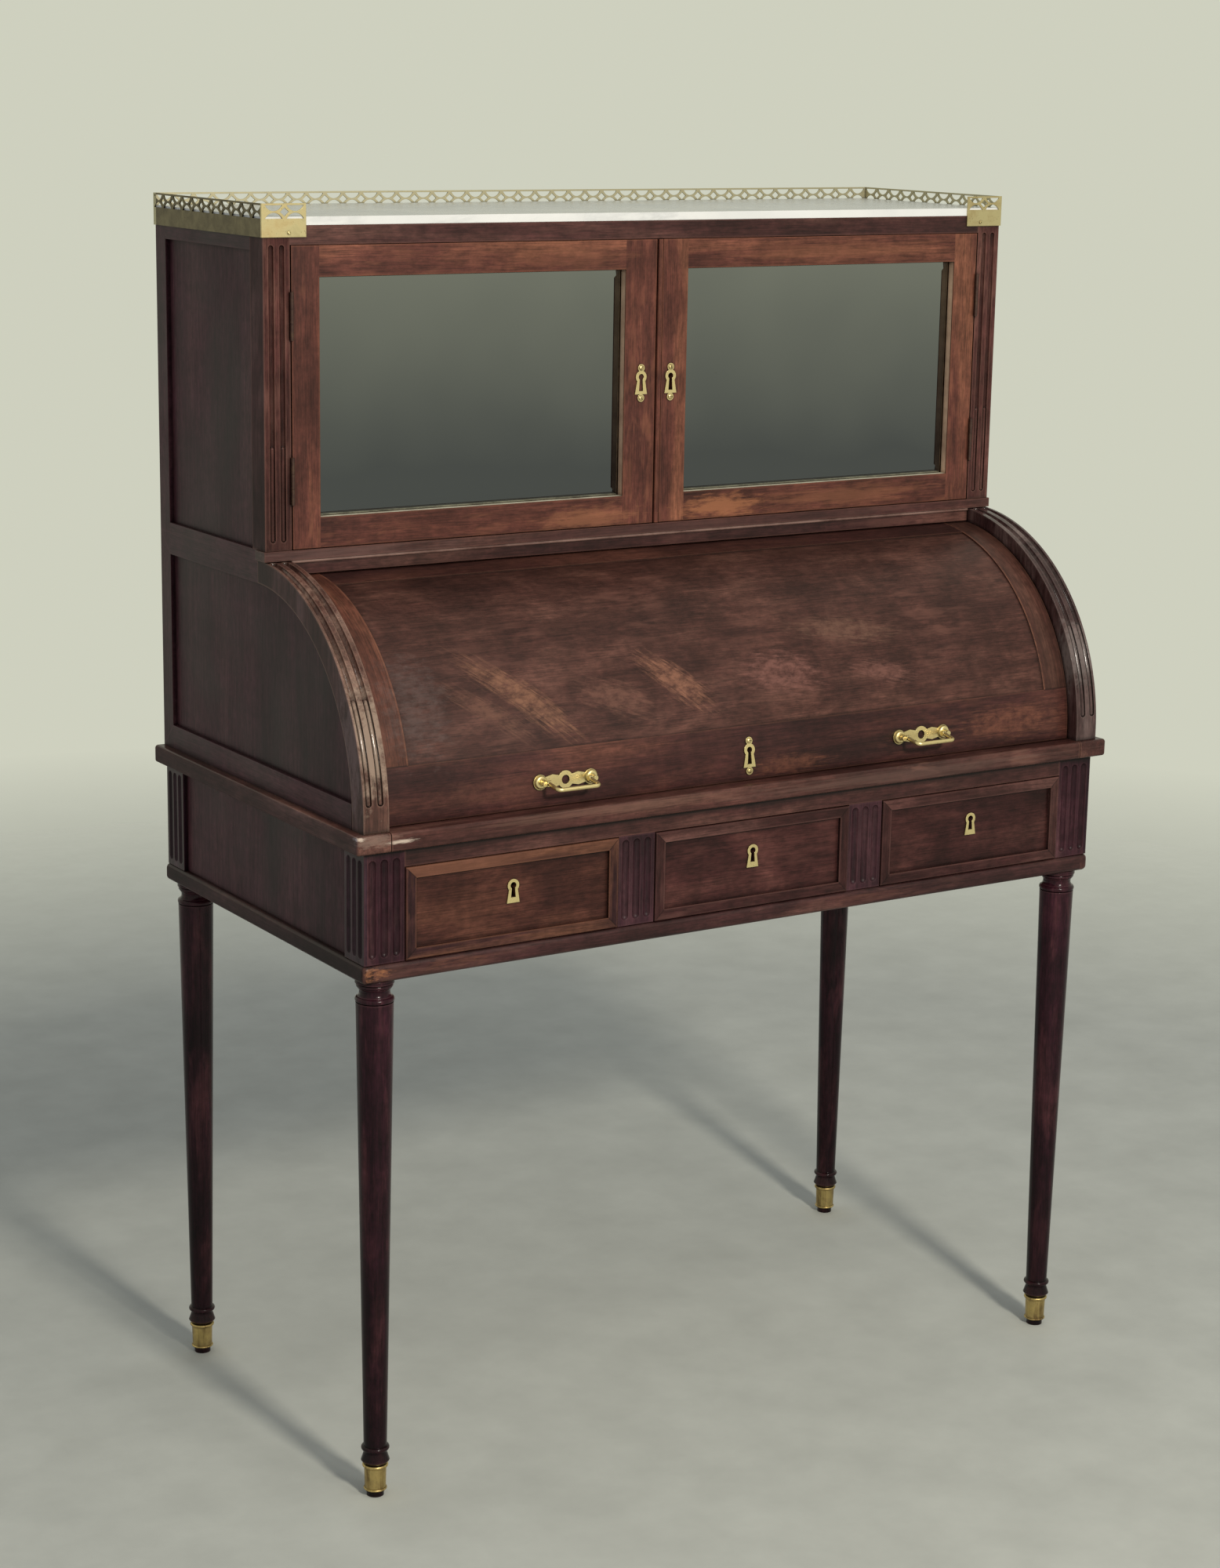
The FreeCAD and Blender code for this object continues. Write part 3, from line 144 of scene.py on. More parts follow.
SKY_COLOUR = (0.88, 0.93, 1.0)
SKY_LIGHT = 0.36

# How old polish behaves: shine of the wax, how far wear and wax reach from an edge, how dark old wax and painted
# shade leave a recess or joint
WAX_SHINE = 0.24
LOW_SHINE = 0.18
SIDE_ROUGHNESS = 0.62
EDGE_REACH = 0.0022
EDGE_RADIUS = 0.0008
WAX_AND_SHADE_REACH = 0.005
WAX_AND_SHADE = 0.45
FLUTE_WAX_AND_SHADE = 0.16
BRASS_REACH = 0.002
BRASS_DIRT = 0.35
BRASS_EDGE_RADIUS = 0.0004
TARNISH_ROUGHNESS = 0.58

# The camera that was fitted to the photograph: metres, degrees and millimetres
CAMERA_PLACE = (-1.8857, -2.8944, 1.4982)
CAMERA_HEADING = 32.55
CAMERA_TILT = -13.18
CAMERA_ROLL = 0.96
SENSOR_WIDTH = 36.0
LENS = 90.08

# Places where the polish has worn or faded, and some painted highlights, glints and sheen: centre, reach, colour
# and strength.
# On the fall, centre and reach run across and up the curve, and a turn in degrees follows them.
DOOR_PATCHES = [
    ((-0.115, DOOR_FACE, 1.297), (0.085, 0.03, 0.016), (0.29, 0.115, 0.058), 0.22),
    ((-0.085, DOOR_FACE, 1.008), (0.060, 0.03, 0.015), (0.31, 0.125, 0.062), 0.55),
    ((0.094, DOOR_FACE, 1.012), (0.055, 0.03, 0.014), (0.38, 0.150, 0.068), 0.70),
    ((0.270, DOOR_FACE, 1.014), (0.120, 0.03, 0.012), (0.30, 0.118, 0.060), 0.40),
    ((0.240, DOOR_FACE, 1.298), (0.150, 0.03, 0.013), (0.30, 0.118, 0.060), 0.25),
]
MOULDING_PATCHES = [
    ((-0.471, MOULDING_FACE, 0.592), (0.024, 0.010, 0.013), (0.36, 0.145, 0.066), 0.80),
    ((-0.370, MOULDING_FACE, 0.592), (0.060, 0.010, 0.010), (0.19, 0.075, 0.046), 0.50),
    ((0.150, MOULDING_FACE, 0.592), (0.110, 0.010, 0.010), (0.17, 0.070, 0.046), 0.35),
]
EDGE_WEAR_AND_HIGHLIGHT_PATCHES = [
    ((-0.446, TABLE_FACE, 0.7305), (0.018, 0.010, 0.0022), (0.62, 0.50, 0.40), 0.95),
    ((-0.476, TABLE_FACE, 0.7345), (0.026, 0.014, 0.0070), (0.27, 0.180, 0.140), 0.60),
    # A painted highlight on the top corner of the left end block
    ((-0.4935, TABLE_FACE, 0.7375), (0.006, 0.010, 0.0022), (0.62, 0.50, 0.40), 0.95),
    ((-0.200, TABLE_FACE, 0.7350), (0.160, 0.010, 0.0050), (0.20, 0.105, 0.076), 0.45),
    ((0.200, TABLE_FACE, 0.7300), (0.230, 0.010, 0.0080), (0.17, 0.095, 0.075), 0.40),
]
# Pale stretches low on the arc rails: worn polish, with painted glints on the stop rods
ARC_WEAR_AND_GLINT_PATCHES = {
    "left": [((-0.471, -0.2180, 0.828), (0.030, 0.038, 0.065), (0.46, 0.34, 0.25), 0.60)],
    "right": [((0.471, -0.2150, 0.838), (0.030, 0.030, 0.042), (0.20, 0.165, 0.150), 0.55)],
}
SILL_PATCHES = [
    ((-0.400, SILL_FACE, 0.992), (0.130, 0.030, 0.008), (0.15, 0.082, 0.070), 0.55),
    ((0.050, SILL_FACE, 0.992), (0.300, 0.030, 0.006), (0.12, 0.058, 0.048), 0.35),
]
FALL_WEAR_AND_SHEEN_PATCHES = [
    ((-0.275, 0.112, 0.0), (0.078, 0.017, 1.0), -40.0, (0.25, 0.115, 0.066), 0.85),
    ((-0.318, 0.098, 0.0), (0.060, 0.012, 1.0), -35.0, (0.19, 0.085, 0.054), 0.55),
    ((-0.080, 0.110, 0.0), (0.052, 0.017, 1.0), -40.0, (0.27, 0.120, 0.072), 0.85),
    ((-0.160, 0.098, 0.0), (0.050, 0.020, 1.0), -20.0, (0.19, 0.085, 0.058), 0.60),
    ((0.060, 0.106, 0.0), (0.056, 0.026, 1.0), -8.0, (0.20, 0.085, 0.066), 0.85),
    ((0.197, 0.095, 0.0), (0.046, 0.013, 1.0), -12.0, (0.19, 0.082, 0.062), 0.75),
    ((0.160, 0.150, 0.0), (0.075, 0.018, 1.0), -8.0, (0.17, 0.084, 0.056), 0.70),
    # A greyish painted sheen near the field's left, over bleached polish
    ((-0.403, 0.112, 0.0), (0.040, 0.060, 1.0), 0.0, (0.13, 0.088, 0.078), 0.45),
    ((0.375, 0.020, 0.0), (0.085, 0.020, 1.0), 0.0, (0.19, 0.070, 0.042), 0.70),
    ((0.055, 0.004, 0.0), (0.060, 0.011, 1.0), 0.0, (0.18, 0.066, 0.038), 0.60),
    ((-0.330, 0.015, 0.0), (0.080, 0.015, 1.0), 0.0, (0.15, 0.058, 0.038), 0.45),
]


# Node helpers


def put(tree, kind, inputs=None, **settings):
    """Add a node, set its options, and link or set its inputs."""
    node = tree.nodes.new(kind)
    for key, value in settings.items():
        setattr(node, key, value)
    for key, value in (inputs or {}).items():
        if isinstance(value, bpy.types.NodeSocket):
            tree.links.new(value, node.inputs[key])
        else:
            node.inputs[key].default_value = value
    return node


def opaque(colour):
    return (*colour, 1.0)


def sums(tree, operation, first, second=0.0, third=0.0):
    return put(tree, "ShaderNodeMath", {0: first, 1: second, 2: third}, operation=operation).outputs[0]


def product(tree, *values):
    total = values[0]
    for value in values[1:]:
        total = sums(tree, "MULTIPLY", total, value)
    return total


def opposite(tree, share):
    return sums(tree, "SUBTRACT", 1.0, share)


def spread_range(tree, value, low, high, to_low=0.0, to_high=1.0):
    inputs = {"Value": value, "From Min": low, "From Max": high, "To Min": to_low, "To Max": to_high}
    return put(tree, "ShaderNodeMapRange", inputs).outputs["Result"]


def mix_colour(tree, share, first, second, blend="MIX"):
    node = put(tree, "ShaderNodeMix", {0: share}, data_type="RGBA", blend_type=blend)
    for place, value in ((6, first), (7, second)):
        if isinstance(value, bpy.types.NodeSocket):
            tree.links.new(value, node.inputs[place])
        else:
            node.inputs[place].default_value = opaque(value)
    return node.outputs[2]


def mix_places(tree, share, first, second):
    node = put(tree, "ShaderNodeMix", {0: share, 4: first, 5: second}, data_type="VECTOR")
    return node.outputs[1]


def mix_values(tree, share, first, second):
    node = put(tree, "ShaderNodeMix", {0: share, 2: first, 3: second}, data_type="FLOAT")
    return node.outputs[0]


def stretched(tree, place, scale, shift=(0.0, 0.0, 0.0)):
    inputs = {"Vector": place, "Location": shift, "Scale": scale}
    return put(tree, "ShaderNodeMapping", inputs).outputs["Vector"]


def noise(tree, place, scale=1.0, detail=4.0, roughness=0.55, distortion=0.0):
    inputs = {"Vector": place, "Scale": scale, "Detail": detail, "Roughness": roughness,
              "Distortion": distortion}
    return put(tree, "ShaderNodeTexNoise", inputs).outputs["Fac"]


def ramp(tree, value, stops):
    node = put(tree, "ShaderNodeValToRGB", {"Fac": value})
    elements = node.color_ramp.elements
    while len(elements) < len(stops):
        elements.new(0.5)
    for element, (position, colour) in zip(elements, stops):
        element.position = position
        element.color = opaque(colour)
    return node.outputs["Color"]


def bump(tree, height, strength, distance, normal=None):
    inputs = {"Height": height, "Strength": strength, "Distance": distance}
    if normal is not None:
        inputs["Normal"] = normal
    return put(tree, "ShaderNodeBump", inputs).outputs["Normal"]


def rounded_edges(tree, radius):
    return put(tree, "ShaderNodeBevel", {"Radius": radius}, samples=4).outputs["Normal"]


def new_finish(name):
    material = bpy.data.materials.new(name)
    material.use_nodes = True
    tree = material.node_tree
    tree.nodes.clear()
    surface = put(tree, "ShaderNodeBsdfPrincipled")
    put(tree, "ShaderNodeOutputMaterial", {"Surface": surface.outputs["BSDF"]})
    return material, tree, surface


def feed(tree, surface, values):
    for key, value in values.items():
        if isinstance(value, bpy.types.NodeSocket):
            tree.links.new(value, surface.inputs[key])
        else:
            surface.inputs[key].default_value = value


def own_place(tree):
    return put(tree, "ShaderNodeTexCoord").outputs["Object"]


def parts_of(tree, place):
    return put(tree, "ShaderNodeSeparateXYZ", {0: place}).outputs


# Masks


def beyond(axis, limit):
    """A mask of the places further out than a limit along one axis."""
    def mask(tree, place):
        value = parts_of(tree, place)["XYZ".index(axis.upper())]
        return sums(tree, "GREATER_THAN", sums(tree, "ABSOLUTE", value), limit)
    return mask


def between(axis, low, high):
    """A mask of the places between two limits along one axis."""
    def mask(tree, place):
        value = parts_of(tree, place)["XYZ".index(axis.upper())]
        return product(tree, sums(tree, "GREATER_THAN", value, low), sums(tree, "LESS_THAN", value, high))
    return mask


def door_stile_mask(tree, place):
    """The upright members of both doors, which run past the rails."""
    wide = sums(tree, "ABSOLUTE", parts_of(tree, place)[0])
    outer = sums(tree, "GREATER_THAN", wide, DOOR_SIGHT[1])
    meeting = sums(tree, "LESS_THAN", wide, DOOR_SIGHT[0])
    return sums(tree, "MAXIMUM", outer, meeting)


def near(tree, value, place):
    """A mask of the faces that lie at one place along an axis."""
    return sums(tree, "LESS_THAN", sums(tree, "ABSOLUTE", sums(tree, "SUBTRACT", value, place)), FACE_SKIN)


def before_mirror(tree, place):
    """The short depth between the doors' front and their mirrors, broken into patches, where painted light lies on
    the ledges and inner edges.
    """
    reach = between("y", *REBATE_DEPTHS)(tree, place)
    return product(tree, reach, spread_range(tree, noise(tree, place, 40.0, 4.0, 0.6), 0.3, 0.6, 0.6, 1.0))


def door_ledge_highlight_mask(tree, place):
    """The ledges under the mirrors, with a painted highlight where they face up into the light."""
    parts = parts_of(tree, place)
    ledge = near(tree, parts[2], DOOR_SIGHT[2])
    ends = sums(tree, "LESS_THAN", sums(tree, "ABSOLUTE", parts[0]), DOOR_SIGHT[1])
    return product(tree, ledge, ends, before_mirror(tree, place))


def door_rebate_light_mask(tree, place):
    """The upright inner edges beside the mirrors, lightened as painted light where the lamps barely reach them."""
    wide = sums(tree, "ABSOLUTE", parts_of(tree, place)[0])
    edges = sums(tree, "MAXIMUM", near(tree, wide, DOOR_SIGHT[0]), near(tree, wide, DOOR_SIGHT[1]))
    tall = between("z", DOOR_SIGHT[2], DOOR_SIGHT[3])(tree, place)
    return product(tree, edges, tall, before_mirror(tree, place))


def table_joint_dirt_and_shadow_mask(tree, place):
    """Old wax and dirt just under the table edge, with the painted shadow of its overhang."""
    height = parts_of(tree, place)[2]
    below = sums(tree, "LESS_THAN", height, JOINT_TOP)
    return product(tree, below, spread_range(tree, height, *JOINT_REACH))


def bead_highlight_mask(tree, place):
    """The bead of the sill, with a painted highlight along its length, broken in places."""
    on_bead = between("z", *SILL_BEAD)(tree, place)
    return product(tree, on_bead, spread_range(tree, noise(tree, place, 24.0, 4.0, 0.6), 0.35, 0.6, 0.25, 1.0))


def ragged_patch(tree, place, centre, reach, turn=0.0):
    """A soft ragged patch round one place, as wide as its reach each way."""
    turned = put(tree, "ShaderNodeMapping",
                 {"Vector": place, "Location": centre, "Rotation": (0.0, 0.0, math.radians(turn)), "Scale": reach},
                 vector_type="TEXTURE").outputs["Vector"]
    away = put(tree, "ShaderNodeVectorMath", {0: turned}, operation="LENGTH").outputs["Value"]
    ragged = noise(tree, stretched(tree, turned, (1.7, 5.5, 3.0), centre), 1.0, 5.0, 0.72)
    edge = sums(tree, "ADD", away, spread_range(tree, ragged, 0.3, 0.7, -0.6, 0.6))
    return spread_range(tree, edge, 1.1, 0.45)


# Marks with clear limits, dirt and painted light among them: mask, colour and strength
# Dirt in the joint under the table edge, with painted shadow of the overhang
TABLE_JOINT_DIRT_AND_SHADOW = [(table_joint_dirt_and_shadow_mask, JOINT_DIRT_AND_SHADOW, 0.8)]
# Painted light on the doors' inner edges and a painted highlight on the ledges under the mirrors
DOOR_PAINTED_LIGHT_MARKS = [(door_rebate_light_mask, REBATE_PAINTED_LIGHT, 0.85), (door_ledge_highlight_mask, LEDGE_HIGHLIGHT, 0.9)]
# A painted highlight on the sill's bead
SILL_HIGHLIGHT_MARKS = [(bead_highlight_mask, BEAD_HIGHLIGHT, 0.8)]


# Finishes


def along(grain, length, across):
    """Scales of a pattern that runs along one axis of the desk."""
    return tuple(length if axis == grain else across for axis in "xyz")


def grain_place(tree, place, grain, length, across, shift, crossing=None):
    """Stretched places for a grain, turned where a crossing member takes over."""
    base = stretched(tree, place, along(grain, length, across), shift)
    if crossing is None:
        return base
    share, other = crossing
    return mix_places(tree, share, base, stretched(tree, place, along(other, length, across), shift))


def shade(tree, colour, share):
    """Darken a colour by a share that runs over the surface."""
    grey = put(tree, "ShaderNodeCombineColor", {0: share, 1: share, 2: share}).outputs[0]
    return mix_colour(tree, 1.0, colour, grey, "MULTIPLY")


def mahogany_colours(tree, place, grain, tones, worn, seed, crossing=None, figured=(2.2, 17.0),
                     cloudy=(0.70, 1.10)):
    """Colour, roughness and pore height of polished mahogany."""
    shift = (seed * 0.37, seed * 0.91, seed * 0.53)
    dark, red, pale = tones
    figure = noise(tree, grain_place(tree, place, grain, *figured, shift, crossing), 1.0, 6.0, 0.6, 0.5)
    ribbons = noise(tree, grain_place(tree, place, grain, 34.0, 11.0, shift, crossing), 1.0, 3.0, 0.55, 0.4)
    streaks = noise(tree, grain_place(tree, place, grain, 9.0, 190.0, shift, crossing), 1.0, 3.0, 0.6)
    pores = noise(tree, grain_place(tree, place, grain, 26.0, 760.0, shift, crossing), 1.0, 2.0, 0.6)
    clouds = noise(tree, stretched(tree, place, (5.2, 5.2, 5.2), shift), 1.0, 3.0, 0.6, 0.3)
    flecks = noise(tree, grain_place(tree, place, grain, 17.0, 85.0, shift, crossing), 1.0, 3.0, 0.65, 0.25)
    mottle = noise(tree, grain_place(tree, place, grain, 90.0, 210.0, shift, crossing), 1.0, 4.0, 0.7)
    colour = ramp(tree, spread_range(tree, figure, 0.32, 0.68), [(0.0, dark), (0.55, red), (1.0, pale)])
    colour = shade(tree, colour, spread_range(tree, clouds, 0.34, 0.62, *cloudy))
    colour = shade(tree, colour, spread_range(tree, ribbons, 0.35, 0.65, 0.84, 1.16))
    colour = shade(tree, colour, spread_range(tree, mottle, 0.34, 0.66, 0.72, 1.28))
    colour = shade(tree, colour, spread_range(tree, streaks, 0.35, 0.62, 0.82, 1.08))
    colour = shade(tree, colour, spread_range(tree, pores, 0.36, 0.55, 0.62, 1.0))
    rubbed = product(tree, spread_range(tree, flecks, 0.50, 0.66), spread_range(tree, clouds, 0.46, 0.64), worn)
    colour = mix_colour(tree, rubbed, colour, pale)
    roughness = spread_range(tree, clouds, 0.3, 0.7, 0.34, 0.50)
    return colour, roughness, pores


def corner_share(tree, reach, inside):
    """How near the surface is to an outer edge (inside) or to a recess or joint (outside)."""
    node = put(tree, "ShaderNodeAmbientOcclusion", {"Distance": reach}, samples=4, inside=inside,
               only_local=inside)
    return spread_range(tree, node.outputs["AO"], 0.95, 0.55)


def polish(tree, surface, colour, roughness, pores, pale, edge_wear, shine=WAX_SHINE, wax_and_shade=WAX_AND_SHADE):
    """Rub the edges pale, leave old wax with painted shade in the recesses and joints, and round the edges off."""
    rubbed = sums(tree, "MULTIPLY", corner_share(tree, EDGE_REACH, True), edge_wear)
    colour = mix_colour(tree, rubbed, colour, pale)
    # Old wax and painted shade in recesses, flutes and joints between parts
    colour = shade(tree, colour, spread_range(tree, corner_share(tree, WAX_AND_SHADE_REACH, False), 0.0, 1.0, 1.0, wax_and_shade))
    grained = bump(tree, pores, 0.12, 0.0006, rounded_edges(tree, EDGE_RADIUS))
    feed(tree, surface, {"Base Color": colour, "Roughness": roughness, "Normal": grained,
                         "Specular IOR Level": shine})


def lay_wear_and_glint_patches(tree, place, colour, patches):
    """Lay worn and faded patches, and some painted highlights, glints and sheen, over a wood."""
    for centre, reach, tint, strength in patches:
        share = sums(tree, "MULTIPLY", ragged_patch(tree, place, centre, reach), strength)
        colour = mix_colour(tree, share, colour, tint)
    return colour


def lay_stains_and_painted_light(tree, place, colour, marks):
    """Lay marks with clear limits, such as the painted highlight on a bead or the dirt and painted shadow in a
    joint, over a wood.
    """
    for mask, tint, strength in marks:
        colour = mix_colour(tree, sums(tree, "MULTIPLY", mask(tree, place), strength), colour, tint)
    return colour


def grey_and_shade_outside(tree, place, colour, limit, tint):
    """Grey and darken the outer side faces: painted shade on faces the lamps barely reach, over a greyer finish."""
    greyed = mix_colour(tree, 1.0, colour, tint, "MULTIPLY")
    return mix_colour(tree, beyond("x", limit)(tree, place), colour, greyed)


def mahogany(name, grain, tones, worn=0.5, seed=0.0, cross=None, edge_wear=0.5, patches=(), shine=WAX_SHINE,
             gloss=1.0, outer=None, marks=(), wax_and_shade=WAX_AND_SHADE):
    """Polished mahogany with its grain along one axis.

    cross gives a mask and the grain's axis for crossing members, outer the limit and the grey tint of the side
    faces, partly painted shade, and marks give a mask, a colour and a strength for each place of dirt and painted
    light.
    """
    material, tree, surface = new_finish(name)
    place = own_place(tree)
    crossing = None
    if cross:
        mask, other = cross
        crossing = (mask(tree, place), other)
    colour, roughness, pores = mahogany_colours(tree, place, grain, tones, worn, seed, crossing)
    colour = lay_wear_and_glint_patches(tree, place, colour, patches)
    roughness = sums(tree, "MULTIPLY", roughness, gloss)
    if outer:
        colour = grey_and_shade_outside(tree, place, colour, *outer)
        roughness = mix_values(tree, beyond("x", outer[0])(tree, place), roughness, SIDE_ROUGHNESS)
    colour = lay_stains_and_painted_light(tree, place, colour, marks)
    polish(tree, surface, colour, roughness, pores, tones[2], edge_wear, shine, wax_and_shade)
    return material


def leg_mahogany():
    """Dark red posts over nearly black turned legs."""
    material, tree, surface = new_finish("leg_mahogany")
    place = own_place(tree)
    height = parts_of(tree, place)[2]
    turned = sums(tree, "LESS_THAN", height, LEG_TOP)
    post, roughness, pores = mahogany_colours(tree, place, "z", POST, worn=0.40, seed=1.0)
    post = grey_and_shade_outside(tree, place, post, POST_SIDE, SIDE_GREY_AND_SHADE)
    leg, leg_roughness, leg_pores = mahogany_colours(tree, place, "z", LEG, worn=0.7, seed=1.6, figured=(9.0, 40.0))
    leg = shade(tree, leg, spread_range(tree, height, *LEG_PALER, 0.55, 1.25))
    colour = lay_stains_and_painted_light(tree, place, mix_colour(tree, turned, post, leg), TABLE_JOINT_DIRT_AND_SHADOW)
    roughness = sums(tree, "MULTIPLY", mix_values(tree, turned, roughness, leg_roughness),
                     mix_values(tree, turned, 0.8, 0.42))
    pores = mix_values(tree, turned, pores, leg_pores)
    polish(tree, surface, colour, roughness, pores, POST[2], edge_wear=0.45, shine=LOW_SHINE, wax_and_shade=FLUTE_WAX_AND_SHADE)
    return material


def drawer_mahogany(name, front, field_tones, frame_tones, seed, top_rub_and_light):
    """A drawer front: a plain field in a raised frame that is mitred at its corners.

    top_rub_and_light says how pale the frame's top bar is made, most of all at its left: rubbed wear, with painted
    light on the bar that faces up.
    """
    material, tree, surface = new_finish(name)
    place = own_place(tree)
    parts = parts_of(tree, place)
    low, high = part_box(front)
    centre = (low[0] + high[0]) / 2
    half = (high[0] - low[0]) / 2
    middle = (low[2] + high[2]) / 2
    rise = (high[2] - low[2]) / 2
    from_side = sums(tree, "SUBTRACT", half, sums(tree, "ABSOLUTE", sums(tree, "SUBTRACT", parts[0], centre)))
    from_end = sums(tree, "SUBTRACT", rise, sums(tree, "ABSOLUTE", sums(tree, "SUBTRACT", parts[2], middle)))
    upright = sums(tree, "LESS_THAN", from_side, from_end)
    framed = sums(tree, "LESS_THAN", sums(tree, "MINIMUM", from_side, from_end), DRAWER_FRAME)
    mitre = sums(tree, "ABSOLUTE", sums(tree, "SUBTRACT", from_side, from_end))
    mitre = product(tree, spread_range(tree, mitre, *MITRE_LINE), framed)
    field, roughness, pores = mahogany_colours(tree, place, "x", field_tones, worn=0.55, seed=seed,
                                               figured=(7.0, 20.0))
    bars, bar_roughness, bar_pores = mahogany_colours(tree, place, "x", frame_tones, worn=0.25, seed=seed + 0.5,
                                                      crossing=(upright, "z"))
    # The top bar: rubbed pale, with painted light from above
    top_bar = product(tree, framed, sums(tree, "GREATER_THAN", parts[2], middle), opposite(tree, upright),
                      spread_range(tree, parts[0], centre - half * 0.3, centre + half * 0.4, 1.0, 0.4))
    bars = mix_colour(tree, sums(tree, "MULTIPLY", top_bar, top_rub_and_light), bars, frame_tones[2])
    colour = mix_colour(tree, framed, field, bars)
    colour = shade(tree, colour, spread_range(tree, mitre, 0.0, 1.0, 1.0, 0.4))
    polish(tree, surface, colour, mix_values(tree, framed, roughness, bar_roughness),
           mix_values(tree, framed, pores, bar_pores), frame_tones[2], edge_wear=0.5, shine=LOW_SHINE)
    return material


def fall_veneer():
    """The fall's veneer, laid round the curve: a mottled field, side borders and a low band."""
    material, tree, surface = new_finish("fall_veneer")
    parts = parts_of(tree, own_place(tree))
    rise = sums(tree, "SUBTRACT", parts[2], AXIS_Z)
    ahead = sums(tree, "SUBTRACT", AXIS_Y, parts[1])
    height = sums(tree, "MULTIPLY", sums(tree, "ARCTAN2", rise, ahead), FALL_RADIUS)
    flat = put(tree, "ShaderNodeCombineXYZ", {0: parts[0], 1: height, 2: 0.0}).outputs[0]
    wide = sums(tree, "ABSOLUTE", parts[0])
    lifted = sums(tree, "GREATER_THAN", height, FIELD_LOW)
    at_side = product(tree, sums(tree, "GREATER_THAN", wide, FIELD_HALF), lifted)
    inside = product(tree, sums(tree, "LESS_THAN", wide, FIELD_HALF), lifted,
                     sums(tree, "LESS_THAN", height, FIELD_HIGH))
    field, roughness, pores = mahogany_colours(tree, flat, "x", FIELD, worn=0.85, seed=2.0, figured=(11.0, 30.0),
                                               cloudy=(0.85, 1.04))
    sides = mahogany_colours(tree, flat, "y", SIDE_BORDER, worn=0.5, seed=5.0)[0]
    band = mahogany_colours(tree, flat, "x", LOW_BAND, worn=0.35, seed=5.6)[0]
    sides = shade(tree, sides, spread_range(tree, height, FIELD_LOW, BORDER_PALEST, 0.72, 1.05))
    browned = mix_colour(tree, 1.0, sides, RIGHT_BROWN, "MULTIPLY")
    sides = mix_colour(tree, spread_range(tree, parts[0], -FIELD_HALF, FIELD_HALF), sides, browned)
    colour = mix_colour(tree, inside, mix_colour(tree, at_side, band, sides), field)
    # Painted shade on the upper fall, under the sill
    colour = shade(tree, colour, spread_range(tree, height, SHADE_UNDER_SILL, FIELD_HIGH, 1.0, 0.68))
    flecks = noise(tree, stretched(tree, flat, (70.0, 110.0, 1.0)), 1.0, 5.0, 0.7)
    broken = spread_range(tree, flecks, 0.36, 0.60, 0.10, 1.0)
    for centre, reach, turn, tint, strength in FALL_WEAR_AND_SHEEN_PATCHES:
        share = product(tree, ragged_patch(tree, flat, centre, reach, turn), broken, strength)
        colour = mix_colour(tree, share, colour, tint)
    joint = sums(tree, "ABSOLUTE", sums(tree, "SUBTRACT", height, FIELD_LOW))
    joint = product(tree, spread_range(tree, joint, *BAND_JOINT_LINE),
                    sums(tree, "GREATER_THAN", wide, FIELD_HALF))
    colour = shade(tree, colour, spread_range(tree, joint, 0.0, 1.0, 1.0, 0.42))
    # A pale line just outside the field: a worn arris, with a painted highlight on the edge of its step
    seam_highlight = sums(tree, "ABSOLUTE", sums(tree, "SUBTRACT", wide, SEAM_PLACE))
    seam_highlight = product(tree, spread_range(tree, seam_highlight, *SEAM_LINE), lifted, broken, 0.55)
    colour = mix_colour(tree, seam_highlight, colour, SIDE_BORDER[2])
    polish(tree, surface, colour, roughness, pores, WARM[2], edge_wear=0.3)
    return material


def planed_oak():
    """Plain planed oak of the hidden boards."""
    material, tree, surface = new_finish("planed_oak")
    place = own_place(tree)
    grain = noise(tree, stretched(tree, place, (3.0, 5.0, 60.0)), 1.0, 5.0, 0.6, 0.3)
    pores = noise(tree, stretched(tree, place, (22.0, 40.0, 620.0)), 1.0, 2.0, 0.6)
    stain = noise(tree, place, 4.0, 4.0, 0.6, 0.3)
    colour = ramp(tree, spread_range(tree, grain, 0.3, 0.7), list(zip((0.0, 0.6, 1.0), OAK)))
    rays = noise(tree, stretched(tree, place, (9.0, 14.0, 190.0)), 1.0, 3.0, 0.65)
    colour = shade(tree, colour, spread_range(tree, stain, 0.35, 0.65, 0.8, 1.1))
    colour = shade(tree, colour, spread_range(tree, rays, 0.35, 0.65, 0.8, 1.12))
    colour = shade(tree, colour, spread_range(tree, pores, 0.36, 0.52, 0.72, 1.0))
    feed(tree, surface, {"Base Color": colour, "Roughness": spread_range(tree, grain, 0.3, 0.7, 0.55, 0.75),
                         "Normal": bump(tree, pores, 0.15, 0.0005, rounded_edges(tree, EDGE_RADIUS))})
    return material


def gallery_side_shade_mask(side):
    """One side of the gallery, rubbed less than its front return and darkened further as painted shade."""
    def mask(tree, place):
        parts = parts_of(tree, place)
        outward = sums(tree, "GREATER_THAN", sums(tree, "MULTIPLY", parts[0], side), GALLERY_SIDE)
        return product(tree, outward, sums(tree, "GREATER_THAN", parts[1], GALLERY_FRONT))
    return mask


def gallery_back_mask(tree, place):
    return sums(tree, "GREATER_THAN", parts_of(tree, place)[1], GALLERY_BACK)


def shoe_tarnish_and_reflection_streaks(tree, place):
    """Tarnish that runs down the shoes in streaks, standing in also for painted dark reflections."""
    streaks = noise(tree, stretched(tree, place, (110.0, 110.0, 9.0)), 1.0, 4.0, 0.6)
    return spread_range(tree, streaks, 0.46, 0.62)


